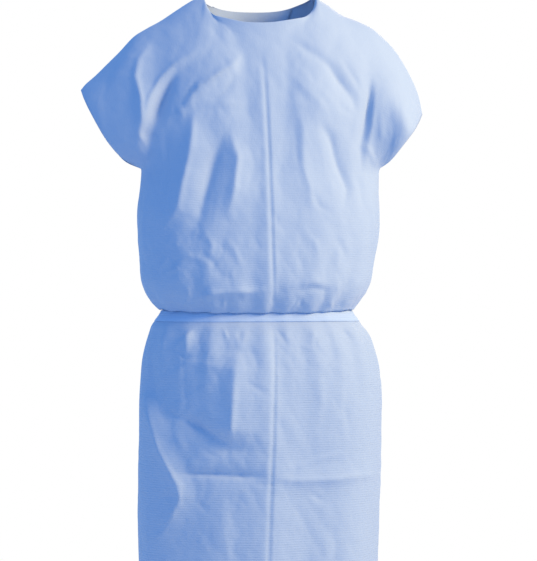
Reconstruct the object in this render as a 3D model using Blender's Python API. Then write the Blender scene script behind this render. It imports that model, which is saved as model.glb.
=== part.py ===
"""Disposable exam gown, as worn: a front panel, two back panels that lap, and a belt tied behind.

Metres, +Z up, the front faces -Y and +X is the viewer's right. The origin is midway between the two
points where the shoulder seams meet the neck. Tables are in millimetres.
"""
import math

import bpy
import numpy as np

# Driving dimensions, in metres
MM = 0.001
WALL = 1.2 * MM                # thickness of the cloth as modelled
SEAM_GAP = 0.36 * MM           # clear space between two panels at a seam
LAP_GAP = 1.0 * MM             # clear space between the lapped back panels
BELT_GAP = 0.6 * MM            # clear space between the gown and its belt
BELT_LAP = 2.2 * MM            # how far the upper belt end stands out over the lower one
TAIL_LIFT = 1.0 * MM           # extra space under the hanging belt ends
KNOT_RISE = 8.0 * MM           # height of the knot over the belt
COLOUR = (0.42, 0.58, 0.82, 1.0)
ROUGHNESS = 0.75

# The body section is a superellipse, and columns are spaced evenly along this one
SECTION_POWER = 0.84
SPACING_SECTION = (210.0, 138.0)
NECK_SHARE = 0.36              # share of each half panel's columns that start at the neck edge
CORNER_REACH = 0.26            # the corner between neck and shoulder softens over this share
CORNER_DECAY = 9               # and dies out down the cloth with this power

# Neck edge and shoulder seams, from the left of the view to the right: x, y, z
NECK_FRONT = (
    (-97, 0, 0), (-97, -22, -12), (-94, -46, -28), (-87, -66, -40), (-66, -78, -47), (-40, -84, -53),
    (-14, -87, -55), (13, -87, -54), (38, -84, -50), (58, -77, -46), (75, -66, -41), (89, -46, -28),
    (97, -22, -12), (98, 0, 0),
)
NECK_BACK = (
    (-97, 0, 0), (-95, 24, -3), (-86, 50, -9), (-66, 72, -15), (-36, 84, -19), (0, 88, -20),
    (36, 84, -19), (66, 72, -15), (86, 50, -9), (96, 24, -3), (98, 0, 0),
)
SHOULDER_LEFT = (
    (-97, 0, 0), (-120, 0, -12), (-146, 0, -29), (-171, 0, -46), (-196, 0, -60), (-219, 0, -75),
    (-243, 0, -101), (-264, 0, -122), (-284, 0, -142), (-301, 0, -157), (-310, 0, -168),
)
SHOULDER_RIGHT = (
    (98, 0, 0), (119, 0, -13), (145, 0, -31), (172, 0, -41), (201, 0, -54), (227, 0, -76),
    (243, 0, -93), (256, 0, -112), (271, 0, -138), (285, 0, -170), (293, 0, -205),
)

# Edge of each sleeve opening from its tip to the underarm: share of the way down, x, y, z
SLEEVE_EDGE = {
    ("front", "left"): (
        (0.0, -310, 0, -168), (0.16, -304, -24, -190), (0.40, -285, -40, -230), (0.62, -265, -40, -262),
        (0.82, -239, -27, -288), (1.0, -204, 0, -304),
    ),
    ("back", "left"): (
        (0.0, -310, 0, -168), (0.16, -296, 42, -193), (0.40, -268, 82, -236), (0.62, -245, 78, -268),
        (0.82, -228, 44, -290), (1.0, -204, 0, -304),
    ),
    ("front", "right"): (
        (0.0, 293, 0, -205), (0.16, 278, -44, -222), (0.40, 260, -86, -241), (0.62, 243, -82, -264),
        (0.82, 226, -48, -290), (1.0, 210, 0, -304),
    ),
    ("back", "right"): (
        (0.0, 293, 0, -205), (0.16, 289, 44, -222), (0.40, 281, 84, -240), (0.62, 264, 80, -264),
        (0.82, 237, 46, -290), (1.0, 210, 0, -304),
    ),
}

# Rows from the underarm to the hem: z, half width left, half width right, depth of the front, depth
# of the back, height of the waist gathers, height of the broad flutes, droop and lift of the overhang
ROWS = (
    (-304, 204, 210, 121, 113, 0.0, 0.0, 0.0, 0.0),
    (-340, 207, 212, 130, 120, 0.0, 0.0, 0.0, 0.0),
    (-380, 211, 213, 136, 123, 0.2, 0.0, 0.0, 0.0),
    (-425, 210, 211, 139, 126, 0.5, 0.0, 0.0, 0.0),
    (-465, 207, 203, 141, 129, 1.0, 0.0, 0.3, 0.0),
    (-497, 205, 198, 140, 129, 1.2, 0.0, 0.7, 0.2),
    (-520, 199, 190, 134, 126, 1.8, 0.0, 1.0, 0.5),
    (-537, 191, 179, 125, 119, 2.1, 0.0, 1.0, 0.8),
    (-548.5, 181, 171.5, 115.5, 112, 1.8, 0.0, 0.9, 1.0),
    (-553.5, 175.5, 168.5, 110, 107.5, 1.2, 0.0, 0.4, 1.0),
    (-551, 173, 167.5, 107.5, 105, 0.8, 0.0, 0.0, 1.0),
    (-546, 172, 167, 106.5, 104, 0.4, 0.0, 0.0, 1.0),
    (-542.5, 169.5, 165, 104.5, 101, 0.3, 0.0, 0.0, 0.9),
    (-545.5, 167.5, 163.5, 102.5, 98, 0.3, 0.0, 0.0, 0.5),
    (-549.5, 167.5, 163.5, 102, 97.5, 0.3, 0.0, 0.0, 0.0),
    (-559, 172.5, 168.5, 106, 101, 0.4, 0.0, 0.0, 0.0),
    (-569, 181.5, 177.5, 111.5, 106, 0.8, 0.0, 0.0, 0.0),
    (-577, 187, 183, 117, 111.5, 1.6, 0.0, 0.0, 0.0),
    (-590, 191.5, 193.5, 123, 118, 2.4, 0.0, 0.0, 0.0),
    (-608, 197, 201, 130, 124, 2.6, 0.2, 0.0, 0.0),
    (-635, 203, 209, 136, 130, 2.0, 0.8, 0.0, 0.0),
    (-670, 206, 215, 140, 134, 1.1, 1.6, 0.0, 0.0),
    (-710, 208, 217, 142, 136, 0.8, 2.6, 0.0, 0.0),
    (-755, 208, 217, 143, 138, 0.4, 3.4, 0.0, 0.0),
    (-800, 209, 217, 143, 139, 0.1, 4.2, 0.0, 0.0),
    (-833, 210, 216, 144, 140, 0.0, 4.8, 0.0, 0.0),
    (-866, 210, 215, 144, 140, 0.0, 5.4, 0.0, 0.0),
    (-915, 210, 212, 145, 141, 0.0, 6.2, 0.0, 0.0),
    (-970, 209, 210, 146, 142, 0.0, 7.2, 0.0, 0.0),
    (-1020, 208, 210, 147, 143, 0.0, 8.0, 0.0, 0.0),
    (-1067, 208, 210, 148, 144, 0.0, 8.5, 0.0, 0.0),
)
UPPER_ROWS = 12                # grid steps from the shoulder seam to the underarm
BELT_TOP_ROW = 14              # rows of the table that the belt lies on, counted from 0
BELT_END_ROW = 16
TAIL_END_ROW = {"left": 24, "right": 23}
DROOP = 2.0                    # how far the overhang's edge sags where a gather stands out, in mm
OVERHANG_LIFT = 10.0           # how far the overhang is lifted at most, in mm
# Share of that lift by column: at the sides, and at the back over the knot
LIFTS = {
    "front": ((-1, 0.9), (-0.72, 0.3), (-0.45, 0.05), (0, 0), (0.45, 0.1), (0.72, 0.4), (1, 1.0)),
    "back": ((-1, 0.9), (-0.72, 0.3), (-0.41, 0.1), (-0.27, 0.5), (-0.12, 1), (0.12, 1), (0.27, 0.5),
             (0.41, 0.1), (0.72, 0.4), (1, 1.0)),
}

# Columns round the front, -1 at the left side seam and 1 at the right one; ridges and valleys of the
# gathers fall on them
OUTER_LEFT = (-1, -0.95, -0.90, -0.855, -0.81, -0.765, -0.72, -0.678, -0.635, -0.59, -0.55, -0.50,
              -0.455, -0.41, -0.36)
OUTER_RIGHT = (0.36, 0.41, 0.46, 0.505, 0.55, 0.595, 0.64, 0.69, 0.74, 0.79, 0.84, 0.89, 0.945, 1)
FRONT_COLUMNS = OUTER_LEFT + (-0.315, -0.275, -0.235, -0.19, -0.145, -0.10, -0.06, -0.02, 0.02, 0.06,
                              0.10, 0.14, 0.18, 0.22, 0.26, 0.31) + OUTER_RIGHT
BACK_COLUMNS = OUTER_LEFT + (-0.27, -0.18, -0.09, -0.05, -0.015, 0.015, 0.05, 0.09, 0.18,
                             0.27) + OUTER_RIGHT
LAP_EDGE = 0.18                # the back panels' free edges
LAP_FADE = 0.36                # past this column the upper back panel lies in the common surface
TAIL_COLUMNS = (0.015, 0.09)   # a hanging belt end lies between these two columns
BELT_LAP_FADE = 0.27           # past this column the belt's upper end lies on the gown

# Gathers at the belt: column, height as a share of the row's height
GATHERS = {
    "front": (
        (-1, 0), (-0.90, 0.4), (-0.81, -0.5), (-0.72, 0.9), (-0.635, -0.6), (-0.55, 0.3), (-0.455, -1.0),
        (-0.36, 1.0), (-0.275, -0.2), (-0.19, 0.4), (-0.10, -0.7), (-0.02, 0.8), (0.06, -1.0),
        (0.14, 0.2), (0.22, -0.3), (0.31, 0.9), (0.41, -0.6), (0.46, 0.2), (0.55, -1.0), (0.64, 0.7),
        (0.74, -0.3), (0.84, 0.6), (0.89, -0.3), (1, 0),
    ),
    "back": (
        (-1, 0), (-0.90, -0.6), (-0.81, 0.7), (-0.72, -1.0), (-0.635, 0.8), (-0.55, -0.6), (-0.455, 1.0),
        (-0.36, -0.9), (-0.27, 0.4), (-0.18, 0), (0.18, 0), (0.27, 0.5), (0.41, -1.0), (0.505, 0.8),
        (0.595, -0.7), (0.69, 1.0), (0.79, -0.8), (0.89, 0.6), (1, 0),
    ),
}
# Broad flutes of the skirt: column, height as a share of the row's height
FLUTES = {
    "front": (
        (-1, 0), (-0.80, 0.5), (-0.52, -0.5), (-0.24, 0.2), (-0.02, 0.9), (0.25, -0.6), (0.52, 0.3),
        (0.78, -0.5), (1, 0),
    ),
    "back": (
        (-1, 0), (-0.76, -0.6), (-0.48, 0.6), (-0.22, -0.3), (0, 0.2), (0.24, -0.4), (0.55, 0.7),
        (0.80, -0.5), (1, 0),
    ),
}

# Folds seen in the view plane, right and down of its corner, in steps of VIEW_STEP: name, points
# (right, down, height in mm), width in mm on the left of a fold that runs down and below one that runs
# to the right, width on the other side
VIEW_STEP = 1.75 * MM
VIEW_ORIGIN = (258.0, -4.0)    # place of the gown's origin in the view plane
VIEW_TURN = math.radians(-8.0)
VIEW_CENTRE = -0.50            # height of the view's centre
VIEW_DISTANCE = 4.5
FOLDS = {
    "front": (
        ("packing crease", ((261, 60, 0), (266, 110, 3), (268, 150, 4), (270, 200, 4), (272, 285, 3),
                            (272, 305, 0)), 30, 26),
        ("packing crease of the skirt", ((272, 330, 0), (272, 360, 6), (272, 400, 9), (272, 440, 8),
                                         (271, 471, 5), (269, 532, 4), (267, 600, 4)), 100, 60),
        ("edge of the left sleeve", ((152, 42, 0), (140, 62, 6), (137, 78, 10), (142, 98, 12),
                                     (143, 121, 11), (140, 140, 5), (139, 165, 0)), 56, 38),
        ("pocket by the left sleeve", ((150, 116, 0), (147, 134, -7), (150, 160, -4), (152, 184, 0)), 16, 24),
        ("pocket by the right sleeve", ((371, 74, 0), (370, 98, -6), (367, 124, -8), (361, 146, -5),
                                        (362, 175, 0)), 18, 9),
        ("edge of the right sleeve", ((385, 84, 0), (381, 106, 4), (382, 134, 5), (376, 160, 1)), 14, 40),
        ("drag from left shoulder", ((203, 48, 1), (174, 66, 5), (160, 82, 6), (149, 104, 6),
                                     (144, 126, 1)), 40, 14),
        ("valley by left shoulder", ((174, 72, -1), (166, 90, -6), (157, 112, -9), (151, 134, -5)), 13, 22),
        ("drag from neck, left", ((240, 53, 1), (230, 68, 6), (200, 88, 8), (181, 110, 3)), 44, 26),
        ("left breast ridge", ((194, 112, 2), (194, 146, 14), (189, 172, 15), (179, 208, 10),
                               (160, 236, 1)), 62, 38),
        ("middle left valley", ((226, 128, -1), (214, 165, -6), (204, 198, -6), (196, 232, -1)), 26, 26),
        ("middle left ridge", ((229, 130, 1), (238, 158, 9), (235, 190, 9), (226, 222, 1)), 40, 44),
        ("drag from neck, right", ((288, 56, 2), (312, 82, 8), (334, 103, 8), (350, 114, 2)), 30, 30),
        ("valley by right shoulder", ((326, 62, -1), (340, 80, -6), (354, 100, -5), (358, 118, -1)),
         20, 20),
        ("right breast facet", ((296, 108, 1), (304, 128, 3), (303, 166, 4), (311, 190, 4),
                                (313, 214, 1)), 26, 50),
        ("right breast valley", ((320, 124, -1), (333, 142, -5), (340, 168, -5), (348, 190, -4),
                                 (344, 212, -1)), 24, 24),
        ("left overhang ridge", ((196, 299, 1), (213, 292, 4), (240, 290, 5), (266, 291, 1)), 20, 22),
        ("right overhang ridge", ((292, 286, 1), (312, 281, 4), (334, 286, 1)), 20, 22),
        ("skirt left ridge", ((142, 385, 1), (152, 416, 7), (162, 448, 10), (174, 474, 11), (182, 496, 9),
                              (172, 520, 6), (156, 548, 1)), 42, 26),
        ("skirt facet valley", ((150, 336, -1), (148, 362, -8), (150, 390, -12), (159, 412, -8),
                                (172, 428, -1)), 20, 130),
        ("skirt facet ridge", ((238, 352, 1), (236, 370, 13), (234, 400, 18), (232, 430, 16),
                               (231, 450, 1)), 70, 84),
        ("skirt facet foot", ((158, 408, -1), (199, 428, -9), (231, 446, -7), (244, 450, -1)), 28, 34),
        ("cross crease, left", ((178, 473, -1), (215, 474, -6), (258, 476, -4), (272, 480, 0)), 30, 28),
        ("cross crease, right", ((272, 478, 0), (290, 479, 4), (330, 478, 5), (372, 474, 1)), 28, 30),
    ),
    "back": (
        ("pocket by the left sleeve", ((152, 60, 0), (146, 84, -9), (146, 112, -12), (147, 145, -9),
                                       (148, 178, -3), (148, 205, 0)), 24, 30),
        ("pocket by the right sleeve", ((364, 76, 0), (361, 102, -11), (358, 132, -12), (357, 160, -8),
                                        (356, 188, -2), (356, 205, 0)), 28, 24),
        ("drag from left shoulder", ((196, 52, 2), (176, 78, 6), (168, 112, 6), (172, 150, 1)), 26, 26),
        ("drag from right shoulder", ((318, 50, 2), (336, 80, 7), (340, 118, 6), (332, 160, 1)), 26, 26),
        ("left blade valley", ((200, 110, -1), (206, 150, -6), (200, 196, -6), (190, 232, -1)), 30, 28),
        ("right blade valley", ((310, 120, -1), (306, 160, -6), (314, 200, -5), (322, 238, -1)), 28, 30),
        ("skirt left ridge", ((178, 372, 1), (170, 420, 6), (180, 480, 7), (176, 560, 2)), 40, 36),
        ("skirt right ridge", ((338, 366, 1), (344, 420, 7), (332, 490, 6), (340, 570, 2)), 36, 40),
        ("cross crease, left", ((160, 474, 1), (196, 477, 4), (236, 475, 1)), 28, 28),
        ("cross crease, right", ((276, 476, -1), (310, 479, -4), (352, 475, -1)), 28, 28),
    ),
}
FADE_AT_SEAM = 0.08            # folds die out within this share of a half panel from the side seam
FADE_AT_TOP = 0.12             # and within this share of the way from the shoulder to the underarm


def smooth_step(low, high, value):
    """0 below low, 1 above high, with a smooth rise between."""
    share = np.clip((value - low) / (high - low), 0, 1)
    return share * share * (3 - 2 * share)


def through_points(points, place):
    """Catmull-Rom curve through a table's rows; place counts rows and may be an array."""
    points = np.asarray(points, float)
    place = np.clip(np.asarray(place, float), 0, len(points) - 1)
    first = np.minimum(place.astype(int), len(points) - 2)
    step = (place - first)[..., None]
    before = points[np.maximum(first - 1, 0)]
    start = points[first]
    end = points[first + 1]
    after = points[np.minimum(first + 2, len(points) - 1)]
    return 0.5 * (2 * start + (end - before) * step
                  + (2 * before - 5 * start + 4 * end - after) * step ** 2
                  + (3 * start - before - 3 * end + after) * step ** 3)


def by_length(points, share):
    """Points at the given shares of the length of a smooth curve through a table's rows."""
    path = through_points(points, np.linspace(0, len(points) - 1, 400))
    run = np.r_[0, np.cumsum(np.linalg.norm(np.diff(path, axis=0), axis=1))]
    return np.stack([np.interp(share * run[-1], run, path[:, axis]) for axis in range(3)], axis=-1)


def by_key(table, key):
    """Smooth values at the given keys of a table whose first column is the key."""
    table = np.asarray(table, float)
    place = np.interp(key, table[:, 0], np.arange(len(table)))
    return through_points(table[:, 1:], place)


def between(table, key):
    """Cosine steps between the rows (key, height) of a table."""
    table = np.asarray(table, float)
    place = np.interp(key, table[:, 0], np.arange(len(table)))
    first = np.minimum(place.astype(int), len(table) - 2)
    rise = 0.5 - 0.5 * np.cos(math.pi * (place - first))
    return table[first, 1] + (table[first + 1, 1] - table[first, 1]) * rise


def section_angle(columns):
    """Angle on the superellipse for columns that are evenly spaced along it."""
    angle = np.linspace(0, math.pi / 2, 2000)
    width, depth = SPACING_SECTION
    x = width * np.sin(angle) ** SECTION_POWER
    y = depth * np.cos(angle) ** SECTION_POWER
    run = np.r_[0, np.cumsum(np.hypot(np.diff(x), np.diff(y)))]
    return np.interp(np.abs(columns), run / run[-1], angle)


def top_edge(side, columns):
    """Neck edge and shoulder seams, left to right."""
    neck = NECK_FRONT if side == "front" else NECK_BACK
    neck_share = (columns + NECK_SHARE) / (2 * NECK_SHARE)
    outer_share = (np.abs(columns) - NECK_SHARE) / (1 - NECK_SHARE)
    points = by_length(neck, np.clip(neck_share, 0, 1))
    left = by_length(SHOULDER_LEFT, np.clip(outer_share, 0, 1))
    right = by_length(SHOULDER_RIGHT, np.clip(outer_share, 0, 1))
    points[columns < -NECK_SHARE] = left[columns < -NECK_SHARE]
    points[columns > NECK_SHARE] = right[columns > NECK_SHARE]
    return points


def body_rows(side, columns, rows):
    """Points of the body below the underarm, in mm; rows counts rows of the table."""
    table = through_points(ROWS, rows)
    angle = section_angle(columns)
    half = np.where(columns[None, :] < 0, table[:, 1:2], table[:, 2:3])
    depth = table[:, 3:4] if side == "front" else table[:, 4:5]
    facing = -1 if side == "front" else 1
    across = np.sin(angle) ** SECTION_POWER
    forward = np.cos(angle) ** SECTION_POWER
    gather = between(GATHERS[side], columns)
    flute = between(FLUTES[side], columns)
    swell = table[:, 5:6] * gather + table[:, 6:7] * flute
    points = np.empty((len(rows), len(columns), 3))
    points[..., 0] = np.sign(columns) * half * across + swell * np.sin(angle) * np.sign(columns)
    points[..., 1] = facing * (depth * forward + swell * np.cos(angle))
    points[..., 2] = table[:, 0:1] - DROOP * table[:, 7:8] * gather
    points[..., 2] += OVERHANG_LIFT * table[:, 8:9] * between(LIFTS[side], columns)
    return points


def soft_top_edge(side, columns):
    """The top edge with its corners at the neck rounded off."""
    shifts = np.linspace(-CORNER_REACH, CORNER_REACH, 9)
    weights = 1 - np.abs(shifts) / (CORNER_REACH * 1.25)
    edges = [top_edge(side, np.clip(columns + shift, -1, 1)) * weight
             for shift, weight in zip(shifts, weights)]
    return sum(edges) / weights.sum()


def shoulder_rows(side, columns, shares):
    """Points from the neck and shoulder seams down to the underarm row, in mm."""
    soft = soft_top_edge(side, columns)[None]
    corner = (1 - shares[:, None, None]) ** CORNER_DECAY
    top = soft + (top_edge(side, columns)[None] - soft) * corner
    bottom = body_rows(side, columns, np.zeros(1))
    down = shares[:, None]
    inward = 1 - (1 - down) ** 1.7
    turn = 1.3 + 1.0 * smooth_step(0.10, 0.34, np.abs(columns))
    outward = (1 - (1 - down) ** turn) ** (1 / turn)
    blend = np.stack([inward + 0 * turn, outward, down + 0 * turn], axis=-1)
    points = top + (bottom - top) * blend
    for hand, sign in (("left", -1), ("right", 1)):
        edge = by_key(SLEEVE_EDGE[side, hand], shares)
        column = 0 if sign < 0 else -1
        change = edge - points[:, column]
        near = np.where(np.sign(columns) == sign, np.abs(columns), 0)
        along = near ** 4
        bulge = smooth_step(0.58, 1.0, near)
        weight = np.stack([along, bulge, along], axis=-1)
        points += change[:, None, :] * weight[None]
    return points


def in_view(points):
    """Place of points in the view plane: right and down, in view steps."""
    across = np.array([math.cos(VIEW_TURN), math.sin(VIEW_TURN), 0])
    ahead = np.array([-math.sin(VIEW_TURN), math.cos(VIEW_TURN), 0])
    scale = VIEW_DISTANCE / (VIEW_DISTANCE + points @ ahead * MM)
    right = points @ across * MM * scale
    up = VIEW_CENTRE + (points[..., 2] * MM - VIEW_CENTRE) * scale
    return np.stack([VIEW_ORIGIN[0] + right / VIEW_STEP, VIEW_ORIGIN[1] - up / VIEW_STEP], axis=-1)


def fold_height(place, points, first_width, other_width):
    """Height in mm of one fold at places in the view plane."""
    best = np.full(place.shape[:-1], np.inf)
    height = np.zeros(place.shape[:-1])
    side = np.zeros(place.shape[:-1])
    for start, end in zip(points[:-1], points[1:]):
        begin = np.array(start[:2], float)
        run = np.array(end[:2], float) - begin
        offset = place - begin
        share = np.clip(offset @ run / (run @ run), 0, 1)
        apart = offset - share[..., None] * run
        distance = np.hypot(apart[..., 0], apart[..., 1])
        nearer = distance < best
        best = np.where(nearer, distance, best)
        height = np.where(nearer, start[2] + (end[2] - start[2]) * share, height)
        side = np.where(nearer, run[0] * offset[..., 1] - run[1] * offset[..., 0], side)
    width = np.where(side > 0, first_width, other_width) * MM / VIEW_STEP
    fall = np.clip(1 - best / width, 0, 1)
    return height * fall ** 1.6


def outward_normals(side, points):
    """Unit normals of a grid whose rows run down and whose columns run to +X."""
    down = np.gradient(points, axis=0)
    across = np.gradient(points, axis=1)
    normal = np.cross(down, across) if side == "front" else np.cross(across, down)
    return normal / np.linalg.norm(normal, axis=-1, keepdims=True)


def cloth_grid(side, columns):
    """Points and normals of one side of the gown, in metres, with its folds."""
    columns = np.asarray(columns, float)
    shares = (np.arange(UPPER_ROWS) / UPPER_ROWS) ** 1.6
    upper = shoulder_rows(side, columns, shares)
    lower = body_rows(side, columns, np.arange(len(ROWS)))
    points = np.concatenate([upper, lower])
    normals = outward_normals(side, points)
    place = in_view(points if side == "front" else points * np.array([1, 0, 1]))
    fade = smooth_step(0, FADE_AT_SEAM, 1 - np.abs(columns))[None]
    depth_share = np.concatenate([shares, np.ones(len(ROWS))])[:, None]
    on_seam = smooth_step(0, FADE_AT_TOP, depth_share)
    under_belt = np.zeros(len(points))
    first = UPPER_ROWS + BELT_TOP_ROW - 4
    under_belt[first:UPPER_ROWS + BELT_END_ROW + 2] = 1
    height = sum(fold_height(place, pts, left, right) for _, pts, left, right in FOLDS[side])
    height = height * fade * on_seam * (1 - under_belt[:, None])
    points = (points + normals * height[..., None]) * MM
    return points, outward_normals(side, points)


def match_seams(front, back):
    """Give the two grids one normal along the seams that they share."""
    for edge in (np.s_[UPPER_ROWS:, 0], np.s_[UPPER_ROWS:, -1]):
        shared = front[edge] + back[edge]
        shared /= np.linalg.norm(shared, axis=-1, keepdims=True)
        front[edge] = shared
        back[edge] = shared
    count = len(OUTER_LEFT)
    for edge in (np.s_[0, :count], np.s_[0, -len(OUTER_RIGHT):]):
        shared = front[edge] + back[edge]
        shared /= np.linalg.norm(shared, axis=-1, keepdims=True)
        front[edge] = shared
        back[edge] = shared


def trim_seams(points, normals):
    """Draw a panel's seam edges back by half the seam gap, along the cloth."""
    trimmed = points.copy()
    for edge, inner in ((np.s_[UPPER_ROWS:, 0], np.s_[UPPER_ROWS:, 1]),
                        (np.s_[UPPER_ROWS:, -1], np.s_[UPPER_ROWS:, -2]),
                        (np.s_[0, :len(OUTER_LEFT)], np.s_[1, :len(OUTER_LEFT)]),
                        (np.s_[0, -len(OUTER_RIGHT):], np.s_[1, -len(OUTER_RIGHT):])):
        inward = points[inner] - points[edge]
        inward -= normals[edge] * np.sum(inward * normals[edge], axis=-1, keepdims=True)
        inward /= np.linalg.norm(inward, axis=-1, keepdims=True)
        trimmed[edge] += inward * SEAM_GAP / 2
    return trimmed


def cloth_solid(name, outer, inner, cells, flip):
    """Closed solid from matching outer and inner points; cells are corner keys in turn."""
    keys = list(outer)
    index = {key: number for number, key in enumerate(keys)}
    count = len(keys)
    vertices = [tuple(outer[key]) for key in keys] + [tuple(inner[key]) for key in keys]
    faces = []
    edges = {}
    for cell in cells:
        corners = [index[key] for key in cell]
        if flip:
            corners.reverse()
        a, b, c, d = corners
        short = np.linalg.norm(outer[keys[a]] - outer[keys[c]])
        other = np.linalg.norm(outer[keys[b]] - outer[keys[d]])
        split = ((a, b, c), (a, c, d)) if short <= other else ((a, b, d), (b, c, d))
        for triangle in split:
            faces.append(triangle)
            faces.append(tuple(count + corner for corner in reversed(triangle)))
        for start, end in zip(corners, corners[1:] + corners[:1]):
            edges[start, end] = True
    for start, end in edges:
        if (end, start) not in edges:
            faces.append((end, start, count + start))
            faces.append((end, count + start, count + end))
    mesh = bpy.data.meshes.new(name)
    mesh.from_pydata(vertices, [], faces)
    mesh.validate()
    solid = bpy.data.objects.new(name, mesh)
    bpy.context.scene.collection.objects.link(solid)
    return solid


def panel(name, side, points, normals, first, last, lift=None):
    """Panel solid from the grid's columns first to last, lifted out by a distance per column."""
    outer = {}
    inner = {}
    for row in range(len(points)):
        for column in range(first, last + 1):
            out = 0 if lift is None else lift[column]
            outer[row, column] = points[row, column] + normals[row, column] * out
            inner[row, column] = outer[row, column] - normals[row, column] * WALL
    cells = [((row, column), (row + 1, column), (row + 1, column + 1), (row, column + 1))
             for row in range(len(points) - 1) for column in range(first, last)]
    return cloth_solid(name, outer, inner, cells, side == "back")


def lap_lift(columns):
    """How far the upper back panel stands out over the lower one."""
    columns = np.asarray(columns, float)
    return (WALL + LAP_GAP) * (1 - smooth_step(LAP_EDGE + 0.01, LAP_FADE, np.abs(columns)))


def belt(front_points, front_normals, back_points, back_normals):
    """Belt from the end that lies on top, round the front, to the end beneath it."""
    columns = np.asarray(BACK_COLUMNS)
    tail_inner, tail_outer = (int(np.argmin(np.abs(columns - place))) for place in TAIL_COLUMNS)
    far_inner, far_outer = (int(np.argmin(np.abs(columns + place))) for place in TAIL_COLUMNS)
    lift = lap_lift(columns) + BELT_GAP
    over = BELT_LAP * (1 - smooth_step(TAIL_COLUMNS[1], BELT_LAP_FADE, np.abs(columns)))
    last_back = len(columns) - 1
    last_front = len(FRONT_COLUMNS) - 1
    stations = [("back", column, lift[column] + WALL + over[column])
                for column in range(far_outer, last_back)]
    stations += [("front", column, BELT_GAP + WALL) for column in range(last_front, -1, -1)]
    stations += [("back", column, lift[column] + WALL) for column in range(1, tail_outer + 1)]
    rows = range(UPPER_ROWS + BELT_TOP_ROW, UPPER_ROWS + BELT_END_ROW + 1)
    outer = {}
    inner = {}
    cells = []

    def add(key, side, row, column, out):
        points, normals = (front_points, front_normals) if side == "front" else (back_points, back_normals)
        direction = normals[row, column]
        if row == rows[0]:
            direction = direction * np.array([1, 1, 0])
            direction /= np.linalg.norm(direction)
        inner[key] = points[row, column] + direction * (out - WALL)
        outer[key] = points[row, column] + direction * out

    for station, (side, column, out) in enumerate(stations):
        for row in rows:
            add((station, row), side, row, column, out)
    for station in range(len(stations) - 1):
        for row in rows[:-1]:
            cells.append(((station, row), (station, row + 1), (station + 1, row + 1), (station + 1, row)))
    upper_tail = {column: column - far_outer for column in range(far_outer, far_inner + 1)}
    lower_tail = {column: len(stations) - 1 - (tail_outer - column)
                  for column in range(tail_inner, tail_outer + 1)}
    for tail, extra, end in ((upper_tail, BELT_LAP, "left"), (lower_tail, 0, "right")):
        reach = UPPER_ROWS + TAIL_END_ROW[end]
        for column, station in tail.items():
            out = lift[column] + WALL + extra + TAIL_LIFT
            for row in range(rows[-1] + 1, reach + 1):
                add((station, row), "back", row, column, out)
        first, last = min(tail.values()), max(tail.values())
        for station in range(first, last):
            for row in range(rows[-1], reach):
                cells.append(((station, row), (station, row + 1), (station + 1, row + 1),
                              (station + 1, row)))
    for station, (_, column, _) in enumerate(stations[:tail_outer - far_outer + 1]):
        across = abs(columns[column]) / TAIL_COLUMNS[1]
        for row in rows:
            middle = 1.0 if row == rows[1] else 0.55
            rise = KNOT_RISE * middle * max(0, 1 - across ** 2)
            outer[station, row] = outer[station, row] + back_normals[row, column] * rise
    return cloth_solid("belt", outer, inner, cells, True)


def paint(solid):
    """Give a solid its own material."""
    material = bpy.data.materials.new(solid.name)
    material.use_nodes = True
    shader = material.node_tree.nodes["Principled BSDF"]
    shader.inputs["Base Color"].default_value = COLOUR
    shader.inputs["Roughness"].default_value = ROUGHNESS
    shader.inputs["Metallic"].default_value = 0
    solid.data.materials.append(material)


def build():
    """Make the four pieces of the gown."""
    for old in list(bpy.data.objects):
        bpy.data.objects.remove(old, do_unlink=True)
    front_points, front_normals = cloth_grid("front", FRONT_COLUMNS)
    back_points, back_normals = cloth_grid("back", BACK_COLUMNS)
    match_seams(front_normals, back_normals)
    front_trimmed = trim_seams(front_points, front_normals)
    back_trimmed = trim_seams(back_points, back_normals)
    columns = np.asarray(BACK_COLUMNS)
    lower_end = int(np.argmin(np.abs(columns - LAP_EDGE)))
    upper_end = int(np.argmin(np.abs(columns + LAP_EDGE)))
    solids = [
        panel("front", "front", front_trimmed, front_normals, 0, len(FRONT_COLUMNS) - 1),
        panel("back_right", "back", back_trimmed, back_normals, 0, lower_end),
        panel("back_left", "back", back_trimmed, back_normals, upper_end, len(columns) - 1,
              lap_lift(columns)),
        belt(front_points, front_normals, back_points, back_normals),
    ]
    for solid in solids:
        paint(solid)


build()
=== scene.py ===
"""Looks of a disposable exam gown, as worn: embossed tissue laminate with its folds and packing creases."""
import math

import bpy
import numpy as np
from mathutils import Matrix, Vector


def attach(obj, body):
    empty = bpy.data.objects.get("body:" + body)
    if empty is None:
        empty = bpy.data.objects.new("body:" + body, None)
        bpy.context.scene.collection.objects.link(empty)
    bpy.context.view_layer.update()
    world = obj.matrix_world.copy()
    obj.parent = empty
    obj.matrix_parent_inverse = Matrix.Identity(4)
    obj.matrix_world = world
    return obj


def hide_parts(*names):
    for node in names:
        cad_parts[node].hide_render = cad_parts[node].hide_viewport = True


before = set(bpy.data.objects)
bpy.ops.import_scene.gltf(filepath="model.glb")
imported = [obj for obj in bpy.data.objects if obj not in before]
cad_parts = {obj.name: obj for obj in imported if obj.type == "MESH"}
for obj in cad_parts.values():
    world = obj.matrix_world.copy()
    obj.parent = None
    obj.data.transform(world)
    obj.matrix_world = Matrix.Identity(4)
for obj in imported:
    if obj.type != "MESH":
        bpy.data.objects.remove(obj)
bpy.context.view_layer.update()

MM = 0.001
CLOTH = 0.35 * MM              # thickness of the laminate as it shows at its edges
CAD_WALL = 1.2 * MM            # wall of the solids that this cloth stands for
LAP_GAP = 1.0 * MM             # space between the back panels where they lap
BELT_GAP = 0.6 * MM            # space between the gown and the belt's ends
BELT_LAP = 2.2 * MM            # how far the belt's upper end stands out over the lower one
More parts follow.
